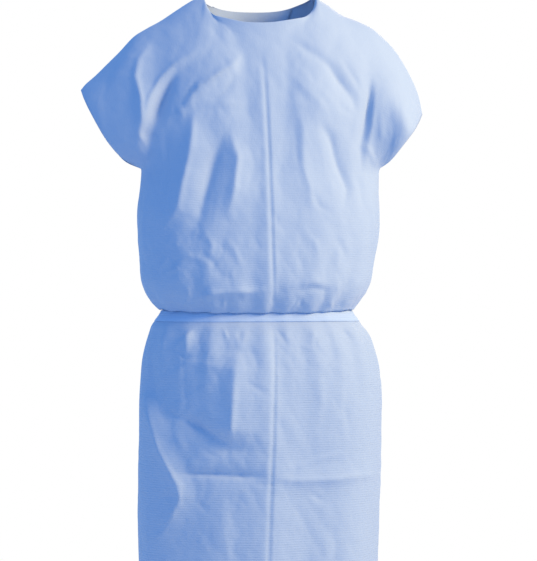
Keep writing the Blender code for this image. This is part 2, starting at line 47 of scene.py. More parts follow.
TAIL_LIFT = 1.0 * MM           # how far the hanging ends stand out besides

# The body section is a superellipse, and columns are spaced evenly along this one
SECTION_POWER = 0.84
SPACING_SECTION = (210.0, 138.0)
NECK_SHARE = 0.36              # share of each half panel's columns that start at the neck edge
CORNER_REACH = 0.26            # the corner between neck and shoulder softens over this share
CORNER_DECAY = 9               # and dies out down the cloth with this power

# Neck edge and shoulder seams, from the left of the view to the right: x, y, z
NECK_FRONT = (
    (-97, 0, 0), (-97, -22, -12), (-94, -46, -28), (-87, -66, -40), (-66, -78, -47), (-40, -84, -53),
    (-14, -87, -55), (13, -87, -54), (38, -84, -50), (58, -77, -46), (75, -66, -41), (89, -46, -28),
    (97, -22, -12), (98, 0, 0),
)
NECK_BACK = (
    (-97, 0, 0), (-95, 24, -3), (-86, 50, -9), (-66, 72, -15), (-36, 84, -19), (0, 88, -20),
    (36, 84, -19), (66, 72, -15), (86, 50, -9), (96, 24, -3), (98, 0, 0),
)
SHOULDER_LEFT = (
    (-97, 0, 0), (-120, 0, -12), (-146, 0, -29), (-171, 0, -46), (-196, 0, -60), (-219, 0, -75),
    (-243, 0, -101), (-264, 0, -122), (-284, 0, -142), (-301, 0, -157), (-310, 0, -168),
)
SHOULDER_RIGHT = (
    (98, 0, 0), (119, 0, -13), (145, 0, -31), (172, 0, -41), (201, 0, -54), (227, 0, -76),
    (243, 0, -93), (256, 0, -112), (271, 0, -138), (285, 0, -170), (293, 0, -205),
)

# Edge of each sleeve opening from its tip to the underarm: share of the way down, x, y, z
SLEEVE_EDGE = {
    ("front", "left"): (
        (0.0, -310, 0, -168), (0.16, -304, -24, -190), (0.40, -285, -40, -230), (0.62, -265, -40, -262),
        (0.82, -239, -27, -288), (1.0, -204, 0, -304),
    ),
    ("back", "left"): (
        (0.0, -310, 0, -168), (0.16, -296, 42, -193), (0.40, -268, 82, -236), (0.62, -245, 78, -268),
        (0.82, -228, 44, -290), (1.0, -204, 0, -304),
    ),
    ("front", "right"): (
        (0.0, 293, 0, -205), (0.16, 278, -44, -222), (0.40, 260, -86, -241), (0.62, 243, -82, -264),
        (0.82, 226, -48, -290), (1.0, 210, 0, -304),
    ),
    ("back", "right"): (
        (0.0, 293, 0, -205), (0.16, 289, 44, -222), (0.40, 281, 84, -240), (0.62, 264, 80, -264),
        (0.82, 237, 46, -290), (1.0, 210, 0, -304),
    ),
}

# Rows from the underarm to the hem: z, half width left, half width right, depth of the front, depth
# of the back, height of the waist gathers, height of the broad flutes, droop and lift of the overhang
ROWS = (
    (-304, 204, 210, 121, 113, 0, 0, 0, 0),
    (-340, 207, 212, 130, 120, 0, 0, 0, 0),
    (-380, 211, 213, 136, 123, 0.2, 0, 0, 0),
    (-425, 210, 211, 139, 126, 0.5, 0, 0, 0),
    (-465, 207, 203, 141, 129, 1, 0, 0.3, 0),
    (-497, 205, 198, 140, 129, 1.2, 0, 0.7, 0.2),
    (-520, 199, 190, 134, 126, 1.8, 0, 1, 0.5),
    (-537, 191, 179, 125, 119, 2.1, 0, 1, 0.8),
    (-548.5, 181, 171.5, 115.5, 112, 1.8, 0, 0.9, 1),
    (-553.5, 175.5, 168.5, 110, 107.5, 1.2, 0, 0.4, 1),
    (-551, 173, 167.5, 107.5, 105, 0.8, 0, 0, 1),
    (-546, 172, 167, 106.5, 104, 0.4, 0, 0, 1),
    (-542.5, 169.5, 165, 104.5, 101, 0.3, 0, 0, 0.9),
    (-545.5, 167.5, 163.5, 102.5, 98, 0.3, 0, 0, 0.5),
    (-549.5, 167.5, 163.5, 102, 97.5, 0.3, 0, 0, 0),
    (-559, 172.5, 168.5, 106, 101, 0.4, 0, 0, 0),
    (-569, 181.5, 177.5, 111.5, 106, 0.8, 0, 0, 0),
    (-577, 187, 183, 117, 111.5, 1.6, 0, 0, 0),
    (-590, 191.5, 193.5, 123, 118, 2.4, 0, 0, 0),
    (-608, 197, 201, 130, 124, 2.6, 0.2, 0, 0),
    (-635, 203, 209, 136, 130, 2, 0.8, 0, 0),
    (-670, 206, 215, 140, 134, 1.1, 1.6, 0, 0),
    (-710, 208, 217, 142, 136, 0.8, 2.6, 0, 0),
    (-755, 208, 217, 143, 138, 0.4, 3.4, 0, 0),
    (-800, 209, 217, 143, 139, 0.1, 4.2, 0, 0),
    (-833, 210, 216, 144, 140, 0, 4.8, 0, 0),
    (-866, 210, 215, 144, 140, 0, 5.4, 0, 0),
    (-915, 210, 212, 145, 141, 0, 6.2, 0, 0),
    (-970, 209, 210, 146, 142, 0, 7.2, 0, 0),
    (-1020, 208, 210, 147, 143, 0, 8, 0, 0),
    (-1067, 208, 210, 148, 144, 0, 8.5, 0, 0),
)
UPPER_ROWS = 12                # grid steps from the shoulder seam to the underarm
BELT_TOP_ROW = 14              # rows of the table that the belt lies on, counted from 0
BELT_END_ROW = 16
TAIL_END_ROW = {"left": 24, "right": 23}
DROOP = 2.0                    # how far the overhang's edge sags where a gather stands out, in mm
OVERHANG_LIFT = 10.0           # how far the overhang is lifted at most, in mm
# Share of that lift by column: at the sides, and at the back over the knot
LIFTS = {
    "front": ((-1, 0.9), (-0.72, 0.3), (-0.45, 0.05), (0, 0), (0.45, 0.1), (0.72, 0.4), (1, 1.0)),
    "back": ((-1, 0.9), (-0.72, 0.3), (-0.41, 0.1), (-0.27, 0.5), (-0.12, 1), (0.12, 1), (0.27, 0.5),
             (0.41, 0.1), (0.72, 0.4), (1, 1.0)),
}

# Columns round the front, -1 at the left side seam and 1 at the right one; ridges and valleys of the
# gathers fall on them
OUTER_LEFT = (-1, -0.95, -0.90, -0.855, -0.81, -0.765, -0.72, -0.678, -0.635, -0.59, -0.55, -0.50,
              -0.455, -0.41, -0.36)
OUTER_RIGHT = (0.36, 0.41, 0.46, 0.505, 0.55, 0.595, 0.64, 0.69, 0.74, 0.79, 0.84, 0.89, 0.945, 1)
FRONT_COLUMNS = OUTER_LEFT + (-0.315, -0.275, -0.235, -0.19, -0.145, -0.10, -0.06, -0.02, 0.02, 0.06,
                              0.10, 0.14, 0.18, 0.22, 0.26, 0.31) + OUTER_RIGHT
BACK_COLUMNS = OUTER_LEFT + (-0.27, -0.18, -0.09, -0.05, -0.015, 0.015, 0.05, 0.09, 0.18,
                             0.27) + OUTER_RIGHT
LAP_EDGE = 0.18                # the back panels' free edges
LAP_FADE = 0.36                # past this column the upper back panel lies in the common surface
TAIL_COLUMNS = (0.015, 0.09)   # a hanging belt end lies between these two columns
BELT_LAP_FADE = 0.27           # past this column the belt's upper end lies on the gown

# Gathers at the belt: column, height as a share of the row's height
GATHERS = {
    "front": (
        (-1, 0), (-0.90, 0.4), (-0.81, -0.5), (-0.72, 0.9), (-0.635, -0.6), (-0.55, 0.3), (-0.455, -1.0),
        (-0.36, 1.0), (-0.275, -0.2), (-0.19, 0.4), (-0.10, -0.7), (-0.02, 0.8), (0.06, -1.0),
        (0.14, 0.2), (0.22, -0.3), (0.31, 0.9), (0.41, -0.6), (0.46, 0.2), (0.55, -1.0), (0.64, 0.7),
        (0.74, -0.3), (0.84, 0.6), (0.89, -0.3), (1, 0),
    ),
    "back": (
        (-1, 0), (-0.90, -0.6), (-0.81, 0.7), (-0.72, -1.0), (-0.635, 0.8), (-0.55, -0.6), (-0.455, 1.0),
        (-0.36, -0.9), (-0.27, 0.4), (-0.18, 0), (0.18, 0), (0.27, 0.5), (0.41, -1.0), (0.505, 0.8),
        (0.595, -0.7), (0.69, 1.0), (0.79, -0.8), (0.89, 0.6), (1, 0),
    ),
}
# Broad flutes of the skirt: column, height as a share of the row's height
FLUTES = {
    "front": (
        (-1, 0), (-0.80, 0.5), (-0.52, -0.5), (-0.24, 0.2), (-0.02, 0.9), (0.25, -0.6), (0.52, 0.3),
        (0.78, -0.5), (1, 0),
    ),
    "back": (
        (-1, 0), (-0.76, -0.6), (-0.48, 0.6), (-0.22, -0.3), (0, 0.2), (0.24, -0.4), (0.55, 0.7),
        (0.80, -0.5), (1, 0),
    ),
}

# Folds seen in the view plane, right and down of its corner, in steps of VIEW_STEP: points (right, down,
# height in mm), width in mm on the left of a fold that runs down and below one that runs to the right, width
# on the other side. The right sleeve's edge and the drag from the neck on the right lie lower here than on
# the solids.
VIEW_STEP = 1.75 * MM
VIEW_ORIGIN = (258.0, -4.0)    # place of the gown's origin in the view plane
VIEW_TURN = math.radians(-8.0)
VIEW_AXES = ((math.cos(VIEW_TURN), math.sin(VIEW_TURN), 0), (-math.sin(VIEW_TURN), math.cos(VIEW_TURN), 0))
VIEW_CENTRE = -0.50            # height of the view's centre
VIEW_DISTANCE = 4.5
FOLDS = {
    "front": (
        # Packing creases: down the middle, then across the skirt
        (((261, 60, 0), (266, 110, 3), (268, 150, 4), (270, 200, 4), (272, 285, 3), (272, 305, 0)), 30, 26),
        (((272, 330, 0), (272, 360, 6), (272, 400, 9), (272, 440, 8), (271, 471, 5), (269, 532, 4),
          (267, 600, 4)), 100, 60),
        (((178, 473, -1), (215, 474, -6), (258, 476, -4), (272, 480, 0)), 30, 28),
        (((272, 478, 0), (290, 479, 4), (330, 478, 5), (372, 474, 1)), 28, 30),
        # Sleeves: their edges and the pockets beside them
        (((152, 42, 0), (140, 62, 6), (137, 78, 10), (142, 98, 12), (143, 121, 11), (140, 140, 5),
          (139, 165, 0)), 56, 38),
        (((150, 116, 0), (147, 134, -7), (150, 160, -4), (152, 184, 0)), 16, 24),
        (((371, 74, 0), (370, 98, -6), (367, 124, -8), (361, 146, -5), (362, 175, 0)), 18, 9),
        (((385, 84, 0), (381, 106, 2), (382, 134, 2.4), (376, 160, 1)), 14, 40),
        # Drags from the shoulders and the neck
        (((203, 48, 1), (174, 66, 5), (160, 82, 6), (149, 104, 6), (144, 126, 1)), 40, 14),
        (((174, 72, -1), (166, 90, -6), (157, 112, -9), (151, 134, -5)), 13, 22),
        (((240, 53, 1), (230, 68, 6), (200, 88, 8), (181, 110, 3)), 44, 26),
        (((288, 56, 1), (312, 82, 3), (334, 103, 3), (350, 114, 1)), 30, 30),
        (((326, 62, -1), (340, 80, -6), (354, 100, -5), (358, 118, -1)), 20, 20),
        # Ridges and valleys of the chest
        (((194, 112, 2), (194, 146, 14), (189, 172, 15), (179, 208, 10), (160, 236, 1)), 62, 38),
        (((226, 128, -1), (214, 165, -6), (204, 198, -6), (196, 232, -1)), 26, 26),
        (((229, 130, 1), (238, 158, 9), (235, 190, 9), (226, 222, 1)), 40, 44),
        (((296, 108, 1), (304, 128, 3), (303, 166, 4), (311, 190, 4), (313, 214, 1)), 26, 50),
        (((320, 124, -1), (333, 142, -5), (340, 168, -5), (348, 190, -4), (344, 212, -1)), 24, 24),
        # Ridges of the overhang
        (((196, 299, 1), (213, 292, 4), (240, 290, 5), (266, 291, 1)), 20, 22),
        (((292, 286, 1), (312, 281, 4), (334, 286, 1)), 20, 22),
        # Skirt: the ridge at the left, then the facet's valley, ridge and foot
        (((142, 385, 1), (152, 416, 7), (162, 448, 10), (174, 474, 11), (182, 496, 9), (172, 520, 6),
          (156, 548, 1)), 42, 26),
        (((150, 336, -1), (148, 362, -8), (150, 390, -12), (159, 412, -8), (172, 428, -1)), 20, 130),
        (((238, 352, 1), (236, 370, 13), (234, 400, 18), (232, 430, 16), (231, 450, 1)), 70, 84),
        (((158, 408, -1), (199, 428, -9), (231, 446, -7), (244, 450, -1)), 28, 34),
    ),
    "back": (
        # Pockets beside the sleeves and drags from the shoulders
        (((152, 60, 0), (146, 84, -9), (146, 112, -12), (147, 145, -9), (148, 178, -3),
          (148, 205, 0)), 24, 30),
        (((364, 76, 0), (361, 102, -11), (358, 132, -12), (357, 160, -8), (356, 188, -2),
          (356, 205, 0)), 28, 24),
        (((196, 52, 2), (176, 78, 6), (168, 112, 6), (172, 150, 1)), 26, 26),
        (((318, 50, 2), (336, 80, 7), (340, 118, 6), (332, 160, 1)), 26, 26),
        # Valleys of the shoulder blades
        (((200, 110, -1), (206, 150, -6), (200, 196, -6), (190, 232, -1)), 30, 28),
        (((310, 120, -1), (306, 160, -6), (314, 200, -5), (322, 238, -1)), 28, 30),
        # Skirt: ridges and cross creases
        (((178, 372, 1), (170, 420, 6), (180, 480, 7), (176, 560, 2)), 40, 36),
        (((338, 366, 1), (344, 420, 7), (332, 490, 6), (340, 570, 2)), 36, 40),
        (((160, 474, 1), (196, 477, 4), (236, 475, 1)), 28, 28),
        (((276, 476, -1), (310, 479, -4), (352, 475, -1)), 28, 28),
    ),
}
FADE_AT_SEAM = 0.08            # folds die out within this share of a half panel from the side seam
FADE_AT_TOP = 0.12             # and within this share of the way from the shoulder to the underarm


def smooth_step(low, high, value):
    """0 below low, 1 above high, with a smooth rise between."""
    share = np.clip((value - low) / (high - low), 0, 1)
    return share * share * (3 - 2 * share)


def through_points(points, place):
    """Catmull-Rom curve through a table's rows; place counts rows and may be an array."""
    points = np.asarray(points, float)
    place = np.clip(np.asarray(place, float), 0, len(points) - 1)
    first = np.minimum(place.astype(int), len(points) - 2)
    step = (place - first)[..., None]
    before = points[np.maximum(first - 1, 0)]
    start = points[first]
    end = points[first + 1]
    after = points[np.minimum(first + 2, len(points) - 1)]
    return 0.5 * (2 * start + (end - before) * step
                  + (2 * before - 5 * start + 4 * end - after) * step ** 2
                  + (3 * start - before - 3 * end + after) * step ** 3)


def run_along(path):
    """Length of a path up to each of its points."""
    return np.r_[0, np.cumsum(np.linalg.norm(np.diff(path, axis=0), axis=1))]


def by_length(points, share):
    """Points at the given shares of the length of a smooth curve through a table's rows."""
    path = through_points(points, np.linspace(0, len(points) - 1, 400))
    run = run_along(path)
    return np.stack([np.interp(share * run[-1], run, path[:, axis]) for axis in range(3)], axis=-1)


def by_key(table, key):
    """Smooth values at the given keys of a table whose first column is the key."""
    table = np.asarray(table, float)
    place = np.interp(key, table[:, 0], np.arange(len(table)))
    return through_points(table[:, 1:], place)


def between(table, key):
    """Cosine steps between the rows (key, height) of a table."""
    table = np.asarray(table, float)
    place = np.interp(key, table[:, 0], np.arange(len(table)))
    first = np.minimum(place.astype(int), len(table) - 2)
    rise = 0.5 - 0.5 * np.cos(math.pi * (place - first))
    return table[first, 1] + (table[first + 1, 1] - table[first, 1]) * rise


def section_angle(columns):
    """Angle on the superellipse for columns that are evenly spaced along it."""
    angle = np.linspace(0, math.pi / 2, 2000)
    width, depth = SPACING_SECTION
    run = run_along(np.stack([width * np.sin(angle) ** SECTION_POWER,
                              depth * np.cos(angle) ** SECTION_POWER], axis=-1))
    return np.interp(np.abs(columns), run / run[-1], angle)


def top_edge(side, columns):
    """Neck edge and shoulder seams, left to right."""
    neck = NECK_FRONT if side == "front" else NECK_BACK
    neck_share = (columns + NECK_SHARE) / (2 * NECK_SHARE)
    outer_share = (np.abs(columns) - NECK_SHARE) / (1 - NECK_SHARE)
    points = by_length(neck, np.clip(neck_share, 0, 1))
    left = by_length(SHOULDER_LEFT, np.clip(outer_share, 0, 1))
    right = by_length(SHOULDER_RIGHT, np.clip(outer_share, 0, 1))
    points[columns < -NECK_SHARE] = left[columns < -NECK_SHARE]
    points[columns > NECK_SHARE] = right[columns > NECK_SHARE]
    return points


def body_rows(side, columns, rows):
    """Points of the body below the underarm, in mm; rows counts rows of the table."""
    table = through_points(ROWS, rows)
    angle = section_angle(columns)
    half = np.where(columns[None, :] < 0, table[:, 1:2], table[:, 2:3])
    depth = table[:, 3:4] if side == "front" else table[:, 4:5]
    facing = -1 if side == "front" else 1
    across = np.sin(angle) ** SECTION_POWER
    forward = np.cos(angle) ** SECTION_POWER
    gather = between(GATHERS[side], columns)
    flute = between(FLUTES[side], columns)
    swell = table[:, 5:6] * gather + table[:, 6:7] * flute
    points = np.empty((len(rows), len(columns), 3))
    points[..., 0] = np.sign(columns) * half * across + swell * np.sin(angle) * np.sign(columns)
    points[..., 1] = facing * (depth * forward + swell * np.cos(angle))
    points[..., 2] = table[:, 0:1] - DROOP * table[:, 7:8] * gather
    points[..., 2] += OVERHANG_LIFT * table[:, 8:9] * between(LIFTS[side], columns)
    return points


def soft_top_edge(side, columns):
    """The top edge with its corners at the neck rounded off."""
    shifts = np.linspace(-CORNER_REACH, CORNER_REACH, 9)
    weights = 1 - np.abs(shifts) / (CORNER_REACH * 1.25)
    edges = [top_edge(side, np.clip(columns + shift, -1, 1)) * weight
             for shift, weight in zip(shifts, weights)]
    return sum(edges) / weights.sum()


def shoulder_rows(side, columns, shares):
    """Points from the neck and shoulder seams down to the underarm row, in mm."""
    soft = soft_top_edge(side, columns)[None]
    corner = (1 - shares[:, None, None]) ** CORNER_DECAY
    top = soft + (top_edge(side, columns)[None] - soft) * corner
    bottom = body_rows(side, columns, np.zeros(1))
    down = shares[:, None]
    inward = 1 - (1 - down) ** 1.7
    turn = 1.3 + 1.0 * smooth_step(0.10, 0.34, np.abs(columns))
    outward = (1 - (1 - down) ** turn) ** (1 / turn)
    blend = np.stack([inward + 0 * turn, outward, down + 0 * turn], axis=-1)
    points = top + (bottom - top) * blend
    for hand, sign in (("left", -1), ("right", 1)):
        edge = by_key(SLEEVE_EDGE[side, hand], shares)
        column = 0 if sign < 0 else -1
        change = edge - points[:, column]
        near = np.where(np.sign(columns) == sign, np.abs(columns), 0)
        along = near ** 4
        bulge = smooth_step(0.58, 1.0, near)
        weight = np.stack([along, bulge, along], axis=-1)
        points += change[:, None, :] * weight[None]
    return points


def in_view(points):
    """Place of points in the view plane: right and down, in view steps."""
    across, ahead = np.array(VIEW_AXES)
    scale = VIEW_DISTANCE / (VIEW_DISTANCE + points @ ahead * MM)
    right = points @ across * MM * scale
    up = VIEW_CENTRE + (points[..., 2] * MM - VIEW_CENTRE) * scale
    return np.stack([VIEW_ORIGIN[0] + right / VIEW_STEP, VIEW_ORIGIN[1] - up / VIEW_STEP], axis=-1)


def fold_height(place, points, first_width, other_width):
    """Height in mm of one fold at places in the view plane."""
    best = np.full(place.shape[:-1], np.inf)
    height = np.zeros(place.shape[:-1])
    side = np.zeros(place.shape[:-1])
    for start, end in zip(points[:-1], points[1:]):
        begin = np.array(start[:2], float)
        run = np.array(end[:2], float) - begin
        offset = place - begin
        share = np.clip(offset @ run / (run @ run), 0, 1)
        apart = offset - share[..., None] * run
        distance = np.hypot(apart[..., 0], apart[..., 1])
        nearer = distance < best
        best = np.where(nearer, distance, best)
        height = np.where(nearer, start[2] + (end[2] - start[2]) * share, height)
        side = np.where(nearer, run[0] * offset[..., 1] - run[1] * offset[..., 0], side)
    width = np.where(side > 0, first_width, other_width) * MM / VIEW_STEP
    fall = np.clip(1 - (np.hypot(best, CREST) - CREST) / width, 0, 1)
    return height * fall ** 1.6


# Finer creases in the same view plane, written like the folds
CREASES = {
    "front": (
        # Packing creases: down the middle, chest, waist and skirt
        (((262, 46, 0), (265, 80, -2), (267, 110, -3), (269, 150, -3.1), (271, 200, -3.1), (273, 262, -3.1),
          (274, 302, -1)), 7, 3.6),
        (((274, 328, -0.6), (274, 380, -3), (273, 440, -3.3), (272, 472, -3.1), (270, 530, -2.8),
          (268, 600, -2.8)), 7, 3.6),
        (((196, 105, 0), (214, 104, 2), (240, 105, 1.7), (262, 104, 0)), 5, 7),
        (((195, 299, 0), (213, 293, 3.2), (240, 291, 3.4), (272, 290, 0)), 9, 8),
        (((172, 473, -1.5), (200, 474, -5.2), (240, 476, -4.6), (270, 478, 0)), 7, 13),
        (((276, 479, 0), (300, 480, 3.4), (340, 478, 3.8), (372, 474, 1.6)), 15, 5),
        # Left sleeve and its pocket
        (((204, 47, 0), (176, 65, 2.4), (162, 80, 2.8), (152, 98, 2.6), (145, 126, 0)), 7, 6),
        (((178, 68, 0), (169, 84, -2.6), (160, 104, -3.4), (152, 130, 0)), 5, 11),
        (((153, 38, 0), (140, 60, 1.6), (137, 78, 2), (142, 98, 2.2), (143, 121, 2.2), (140, 134, 1),
          (146, 148, 0)), 10, 7),
        # Left chest
        (((243, 51, 0), (234, 66, 2), (200, 87, 3), (181, 111, 0)), 10, 6),
        (((226, 66, 0), (212, 82, 1.8), (196, 100, 2), (186, 114, 0)), 7, 5),
        (((176, 107, 0), (184, 112, 2), (190, 108, -1), (196, 116, 0)), 6, 6),
        # Facets left of the centre
        (((194, 110, 0), (194, 130, 2.2), (190, 157, 2.4), (184, 190, 2.4), (180, 210, 1.6),
          (160, 236, 0)), 16, 8),
        (((162, 124, 0), (170, 160, -1.8), (168, 200, -2), (159, 236, 0)), 12, 14),
        (((229, 131, 0), (238, 156, 2.4), (235, 188, 2.4), (228, 218, 0)), 18, 9),
        # From the neck to the right armpit, whose fold is shallower here than on the solids
        (((290, 40, 0), (303, 47, -2.6), (317, 55, -3), (334, 68, -2), (346, 82, 0)), 13, 12),
        (((280, 62, 0), (302, 86, 4), (323, 107, 4.6), (343, 121, 0)), 60, 24),
        (((375, 78, 0), (373, 100, 6), (371, 124, 7), (367, 146, 6), (365, 172, 0)), 34, 56),
        # Right of the centre
        (((291, 108, 0), (303, 124, 0.7), (303, 166, 1), (310, 188, 1), (312, 212, 0)), 14, 18),
        (((319, 123, 0), (331, 136, -2.4), (337, 162, -2.6), (349, 188, -2.4), (344, 209, 0)), 9, 10),
        # Skirt: sliver at the left, facet, ridges and valley below
        (((143, 392, 0), (152, 416, 2.6), (161, 448, 3), (173, 472, 3.2), (182, 486, 3), (182, 502, 2.4),
          (156, 547, 0)), 12, 5),
        (((236, 370, 0), (234, 400, 2.8), (232, 426, 3.8), (231, 450, 0)), 40, 10),
        (((183, 336, 0), (182, 360, -3), (183, 390, -3), (187, 412, 0)), 44, 16),
        (((279, 471, 0), (300, 465, 2), (325, 457, 2.2), (354, 451, 0)), 12, 7),
        (((226, 488, 0), (222, 520, 1.3), (230, 560, 1.3), (234, 600, 1)), 24, 18),
        (((330, 510, 0), (336, 545, -2.2), (330, 600, -2)), 18, 16),
        # Side folds at the hem
        (((381, 500, 0), (377, 548, 2.2), (379, 600, 1)), 6, 5),
        (((146, 500, 0), (149, 550, 2), (146, 600, 1)), 6, 5),
    ),
    "back": (
        # Packing creases: chest and waist, then down each quarter
        (((150, 104, 0), (190, 106, 1.8), (250, 103, -1.6), (320, 106, 1.6), (356, 104, 0)), 8, 6),
        (((160, 288, 0), (196, 291, 2.2), (236, 289, 1.6), (290, 291, -2), (340, 288, 0)), 8, 7),
        (((196, 62, 0), (199, 120, 2.2), (197, 200, 2.4), (194, 280, 0)), 9, 4),
        (((192, 332, 0), (194, 420, 2.4), (191, 500, 2.6), (193, 600, 2.2)), 9, 4),
        (((322, 64, 0), (319, 130, 2.2), (322, 210, 2.4), (326, 282, 0)), 4, 9),
        (((325, 334, 0), (328, 410, 2.4), (324, 500, 2.6), (326, 600, 2.2)), 4, 9),
        # Shoulders
        (((206, 50, 0), (184, 74, 2.8), (168, 96, 2.4), (160, 128, 0)), 9, 7),
        (((308, 50, 0), (330, 74, 2.8), (344, 98, 2.4), (348, 130, 0)), 9, 8),
        # Low ridges of the skirt
        (((170, 492, 0), (176, 530, 2.2), (168, 600, 1.4)), 16, 10),
        (((346, 494, 0), (340, 534, 2.2), (350, 600, 1.4)), 10, 16),
    ),
}
# Short creases, which rise from their start to their middle and fall again to their end: right and down
# of the start, the middle and the end, height in mm at the middle, and the two widths as above
SHORT_CREASES = {
    "front": (
        # Packing creases
        (274, 105, 296, 104, 322, 106, 1.3, 7, 5), (297, 291, 315, 288, 333, 292, -3.4, 9, 8),
        (252, 484, 268, 485, 290, 484, -1.4, 5, 5),
        # Left chest and sleeve
        (139, 131, 143, 139, 148, 148, 2.4, 4, 4), (202, 74, 190, 92, 179, 109, -3.2, 6, 9),
        (245, 62, 226, 90, 205, 108, -2, 8, 9), (224, 135, 210, 170, 197, 225, -2.6, 13, 13),
        # Lower left of the bodice
        (160, 240, 178, 247, 198, 242, 2.2, 8, 7), (176, 264, 190, 256, 208, 263, 2.6, 8, 8),
        (160, 276, 176, 268, 190, 281, 2.2, 8, 6), (198, 248, 213, 262, 224, 282, -2.4, 8, 9),
        (205, 230, 213, 246, 208, 262, 2, 7, 7), (166, 252, 174, 262, 170, 284, -2.2, 7, 8),
        (226, 236, 236, 252, 246, 280, 1.6, 10, 8),
        # Right shoulder and armpit
        (325, 60, 340, 80, 355, 98, -2.8, 7, 8), (341, 58, 356, 80, 366, 102, -2.2, 7, 7),
        (336, 104, 346, 110, 355, 117, -2, 6, 6), (371, 82, 368, 112, 360, 143, -2.6, 5, 4),
        (358, 142, 368, 151, 378, 169, 2.4, 6, 6),
        # Right of the bodice
        (310, 186, 320, 206, 334, 214, -1.8, 8, 8), (354, 166, 362, 190, 364, 224, -2.2, 8, 9),
        (295, 116, 298, 160, 303, 192, -1, 7, 8), (300, 226, 316, 244, 322, 272, 1.8, 14, 9),
        (334, 232, 344, 252, 340, 280, -2, 9, 10),
        # Gathers above the belt
        (227, 293, 224, 302, 223, 311, 2.4, 5, 5), (187, 284, 190, 296, 184, 308, 2.2, 6, 5),
        (334, 297, 331, 304, 333, 311, 2.2, 5, 5), (303, 297, 301, 304, 304, 311, -2, 5, 6),
        # Gathers below the belt
        (201, 323, 187, 336, 172, 350, 4, 9, 12), (172, 347, 183, 356, 194, 359, -2.4, 7, 6),
        (221, 321, 225, 332, 229, 342, 2.4, 6, 5), (273, 323, 283, 338, 292, 352, -2.4, 8, 7),
        (339, 323, 346, 332, 352, 342, -2.4, 7, 7), (244, 322, 240, 334, 241, 346, -1.8, 6, 6),
        (311, 322, 314, 334, 312, 348, 1.8, 7, 7), (299, 346, 308, 348, 318, 346, 1.3, 5, 5),
        (193, 323, 187, 342, 183, 360, 3, 7, 8),
        # Skirt
        (148, 387, 188, 362, 236, 368, 2.4, 12, 7), (163, 413, 199, 427, 232, 444, -3, 7, 12),
        (199, 447, 210, 453, 221, 458, -2.4, 6, 6), (242, 379, 256, 388, 271, 397, -2, 8, 8),
        (318, 366, 322, 400, 316, 440, 1.8, 18, 12), (350, 372, 346, 410, 352, 446, -2, 12, 14),
        (308, 492, 318, 498, 328, 503, -2.4, 8, 8), (196, 501, 203, 507, 210, 512, -2, 7, 7),
        # Side folds
        (371, 188, 374, 226, 371, 264, 2.4, 5, 6), (373, 345, 378, 400, 376, 468, 2.4, 5, 6),
        (146, 186, 143, 228, 147, 276, 2, 6, 5), (149, 340, 145, 366, 147, 392, 1.8, 5, 5),
        # Ticks at the lower left
        (171, 483, 168, 490, 164, 496, 1.8, 5, 5), (167, 510, 163, 518, 159, 525, 1.8, 5, 5),
        (164, 528, 160, 535, 156, 541, 1.8, 5, 5),
    ),
    "back": (
        # Packing creases
        (146, 474, 190, 476, 236, 473, -2.4, 7, 8), (262, 476, 312, 478, 366, 474, 2.4, 7, 8),
        # Armpits and shoulder blades
        (153, 84, 149, 116, 151, 158, -3.2, 8, 9), (361, 86, 358, 118, 354, 160, -3.2, 9, 8),
        (214, 96, 208, 136, 216, 178, -2.6, 10, 12), (178, 140, 184, 176, 176, 222, 2.6, 16, 8),
        (300, 98, 306, 140, 298, 186, -2.6, 12, 10), (342, 150, 338, 188, 346, 230, 2.4, 8, 16),
        # Lower back
        (168, 236, 184, 246, 204, 240, 2.4, 8, 8), (300, 240, 316, 252, 334, 246, 2.4, 8, 8),
        (222, 226, 232, 250, 226, 276, -2.4, 9, 9), (346, 250, 352, 266, 346, 284, 2, 8, 8),
        (176, 262, 190, 270, 206, 264, -2.2, 7, 8),
        # Gathers below the belt
        (206, 322, 198, 340, 196, 360, 2.4, 8, 7), (310, 322, 316, 342, 314, 362, 2.4, 7, 8),
        (170, 324, 174, 340, 170, 356, -2.2, 7, 7), (342, 324, 340, 342, 346, 358, -2.2, 7, 7),
        # Skirt
        (160, 372, 176, 400, 170, 440, 2.6, 18, 8), (352, 380, 340, 412, 348, 452, 2.6, 8, 18),
        (214, 384, 222, 412, 216, 446, -2.2, 10, 10), (296, 396, 304, 424, 298, 456, -2.2, 10, 10),
        # Side folds
        (376, 200, 373, 240, 375, 284, 1.8, 5, 6), (379, 356, 376, 420, 378, 480, 1.8, 6, 5),
        (145, 210, 149, 244, 146, 282, 1.8, 5, 6), (145, 350, 149, 410, 146, 476, 1.8, 6, 5),
    ),
}
# Crumples: size and rise in mm, turn in radians, seed
CRUMPLES = ((58, 1.6, 0.5, 3), (31, 1.0, -0.7, 5), (15, 0.5, 0.9, 7), (8, 0.16, 0.2, 8))
CRUMPLE_SHIFT = 3000           # place of the underarm row in the pattern of crumples, in mm
CRUMPLE_STRETCH = 0.7          # a crumple's width as a share of its length
CRUMPLE_LEVEL = 0.4            # share of a crumple's rise that counts as level cloth
FINE_CRUMPLE = 20              # crumples smaller than this grow in the crumpled patches
SIDE_SEED = {"front": 11, "back": 23}
CREASE_DEPTH = {"front": 1.0, "back": 1.5}    # the creases' heights are multiplied by this
